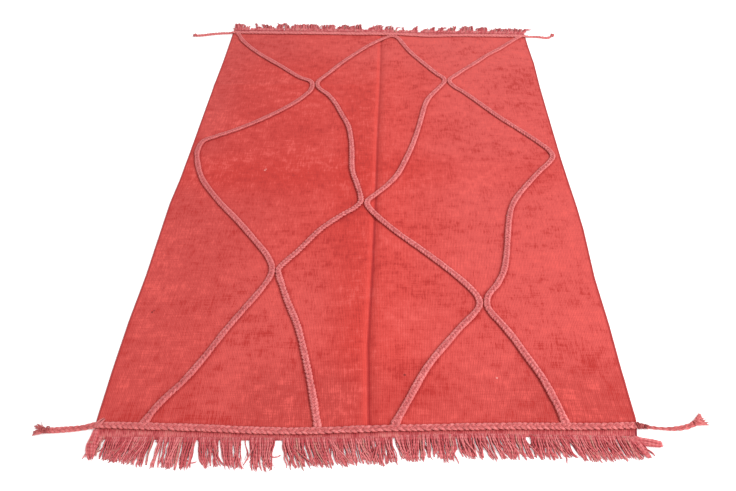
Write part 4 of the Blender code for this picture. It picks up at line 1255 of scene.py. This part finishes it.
tree, shader, rose_cord = wool("rose_cord")
_, along, round_share = uv_axes(tree, "yarn")
ply_tops = ridged(weighted((round_share, 2.0), (along, -2 / CORD_LAY)))
where = tree.nodes.new("ShaderNodeTexCoord").outputs["Object"]
mottle, fuzz = add_fibres(where)
tone = attribute_node(tree, "tone")
dye = weighted((tone, 0.7), (noise_node(where, 55.0), 0.6))
olive_cord = remapped(tone, 1.2, OLIVE_TONE, 0.0, 0.75)
olive_patch = remapped(noise_node(where, 75.0, 2.0), 0.60, 0.72, 0.0, 0.5)
dyed = layered(
    FRINGE_ROSE,
    (remapped(dye, 0.62, 0.34), FRINGE_RED),
    (remapped(dye, 0.66, 0.96), FRINGE_PINK),
    (math_node("MULTIPLY", attribute_node(tree, "rim"), 0.9, clamp=True), FRINGE_PINK),
    (math_node("MAXIMUM", olive_cord, olive_patch), FRINGE_OLIVE),
    # Painted shade between the plies and, from the low attribute, on the sides, roots and lower cords, with
    # the darker tips.
    (remapped(ply_tops, 0.0, 0.45, 0.55, 0.0), FRINGE_DEEP_AND_SHADE),
    (attribute_node(tree, "low"), FRINGE_DEEP_AND_SHADE),
)
finish_wool(shader, dyed, mottle, (0.82, 0.97), weighted((ply_tops, 0.6), (fuzz, 0.4)), CORD_DEPTH)

near_cords = fringe_cords(
    NEAR_END, -1, NEAR_CLUMPS, rings=17, thick_share=1.0, curl=0.002, ragged=1.35, seed=21, flank=0.75
)
near_cords += fringe_cords(
    NEAR_END, -1, NEAR_CROSSING, rings=15, thick_share=0.9, curl=0.008, ragged=1.5, seed=25, flank=0.6
)
near_cords += corner_cords(NEAR_TUFTS, seed=23)
far_cords = fringe_cords(
    FAR_END, 1, FAR_CLUMPS, rings=12, thick_share=1.1, curl=0.018, ragged=1.2, seed=22,
    longer=0.014, flank=0.45, dark_tip=0.30,
)
far_cords += fringe_cords(
    FAR_END, 1, FAR_BASE, rings=6, thick_share=1.35, curl=0.005, ragged=2.0, seed=24,
    longer=0.006, dark_tip=-0.25,
)
for name, yarns, node in (
    ("warp_ends_near", near_cords, "fringe_near"),
    ("warp_ends_far", far_cords, "fringe_far"),
):
    fringe = spin_yarns(name, yarns, rose_cord)
    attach(fringe, "root")
    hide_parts(node)


# ---------------------------------------------------------------------------
# The painted shade beside the plaits: the ground is darker along both sides of
# each plait, where it is sewn down. The ground's second UV map holds how far
# each corner of a face lies from the two nearest plaits.
# ---------------------------------------------------------------------------

FAR_OFF = 0.05  # a plait further away than this leaves the cloth as it is
SEAM_END = 0.86  # the end plaits' free tails start here
TURN = (0.086, 1.278)  # where the middle plait turns back
left_points, middle_points, right_points = (points for _, points, _ in ROUTES.values())
turn = middle_points.index(TURN)
stitched = [left_points, middle_points[: turn + 1], middle_points[turn:], right_points]
stitched += [[(row.x, row.y) for row in table if abs(row.x) < SEAM_END] for table in (NEAR_PLAIT, FAR_PLAIT)]

mesh = ground.data
face_of_loop = np.repeat(np.arange(len(mesh.polygons)), [polygon.loop_total for polygon in mesh.polygons])
centres = np.empty(len(mesh.polygons) * 3)
mesh.polygons.foreach_get("center", centres)
centres = centres.reshape(-1, 3)[:, :2]
corners = np.empty(len(mesh.vertices) * 3)
mesh.vertices.foreach_get("co", corners)
corner_of_loop = np.empty(len(mesh.loops), int)
mesh.loops.foreach_get("vertex_index", corner_of_loop)
corners = corners.reshape(-1, 3)[corner_of_loop, :2]

nearest, beside = [], []
for points in stitched:
    line = smooth([(x, y, 0.0) for x, y in points], 0.010)[:, :2]
    way = np.gradient(line, axis=0)
    way /= np.linalg.norm(way, axis=1)[:, None]
    found = [
        np.argmin(((part[:, None, :] - line[None, :, :]) ** 2).sum(axis=2), axis=1)
        for part in np.array_split(centres, 60)
    ]
    found = np.concatenate(found)
    nearest.append(np.linalg.norm(centres - line[found], axis=1))
    here = line[found][face_of_loop]
    across_way = np.stack([way[:, 1], -way[:, 0]], axis=1)[found][face_of_loop]
    beside.append(((corners - here) * across_way).sum(axis=1))
nearest, beside = np.array(nearest), np.array(beside)
order = np.argsort(nearest, axis=0)[:2][:, face_of_loop]
loops = np.arange(len(face_of_loop))
away = np.stack([beside[order[0], loops], beside[order[1], loops]], axis=1)
away[np.sort(nearest, axis=0)[:2][:, face_of_loop].T > FAR_OFF] = FAR_OFF
mesh.uv_layers["stitching"].data.foreach_set("uv", away.reshape(-1))
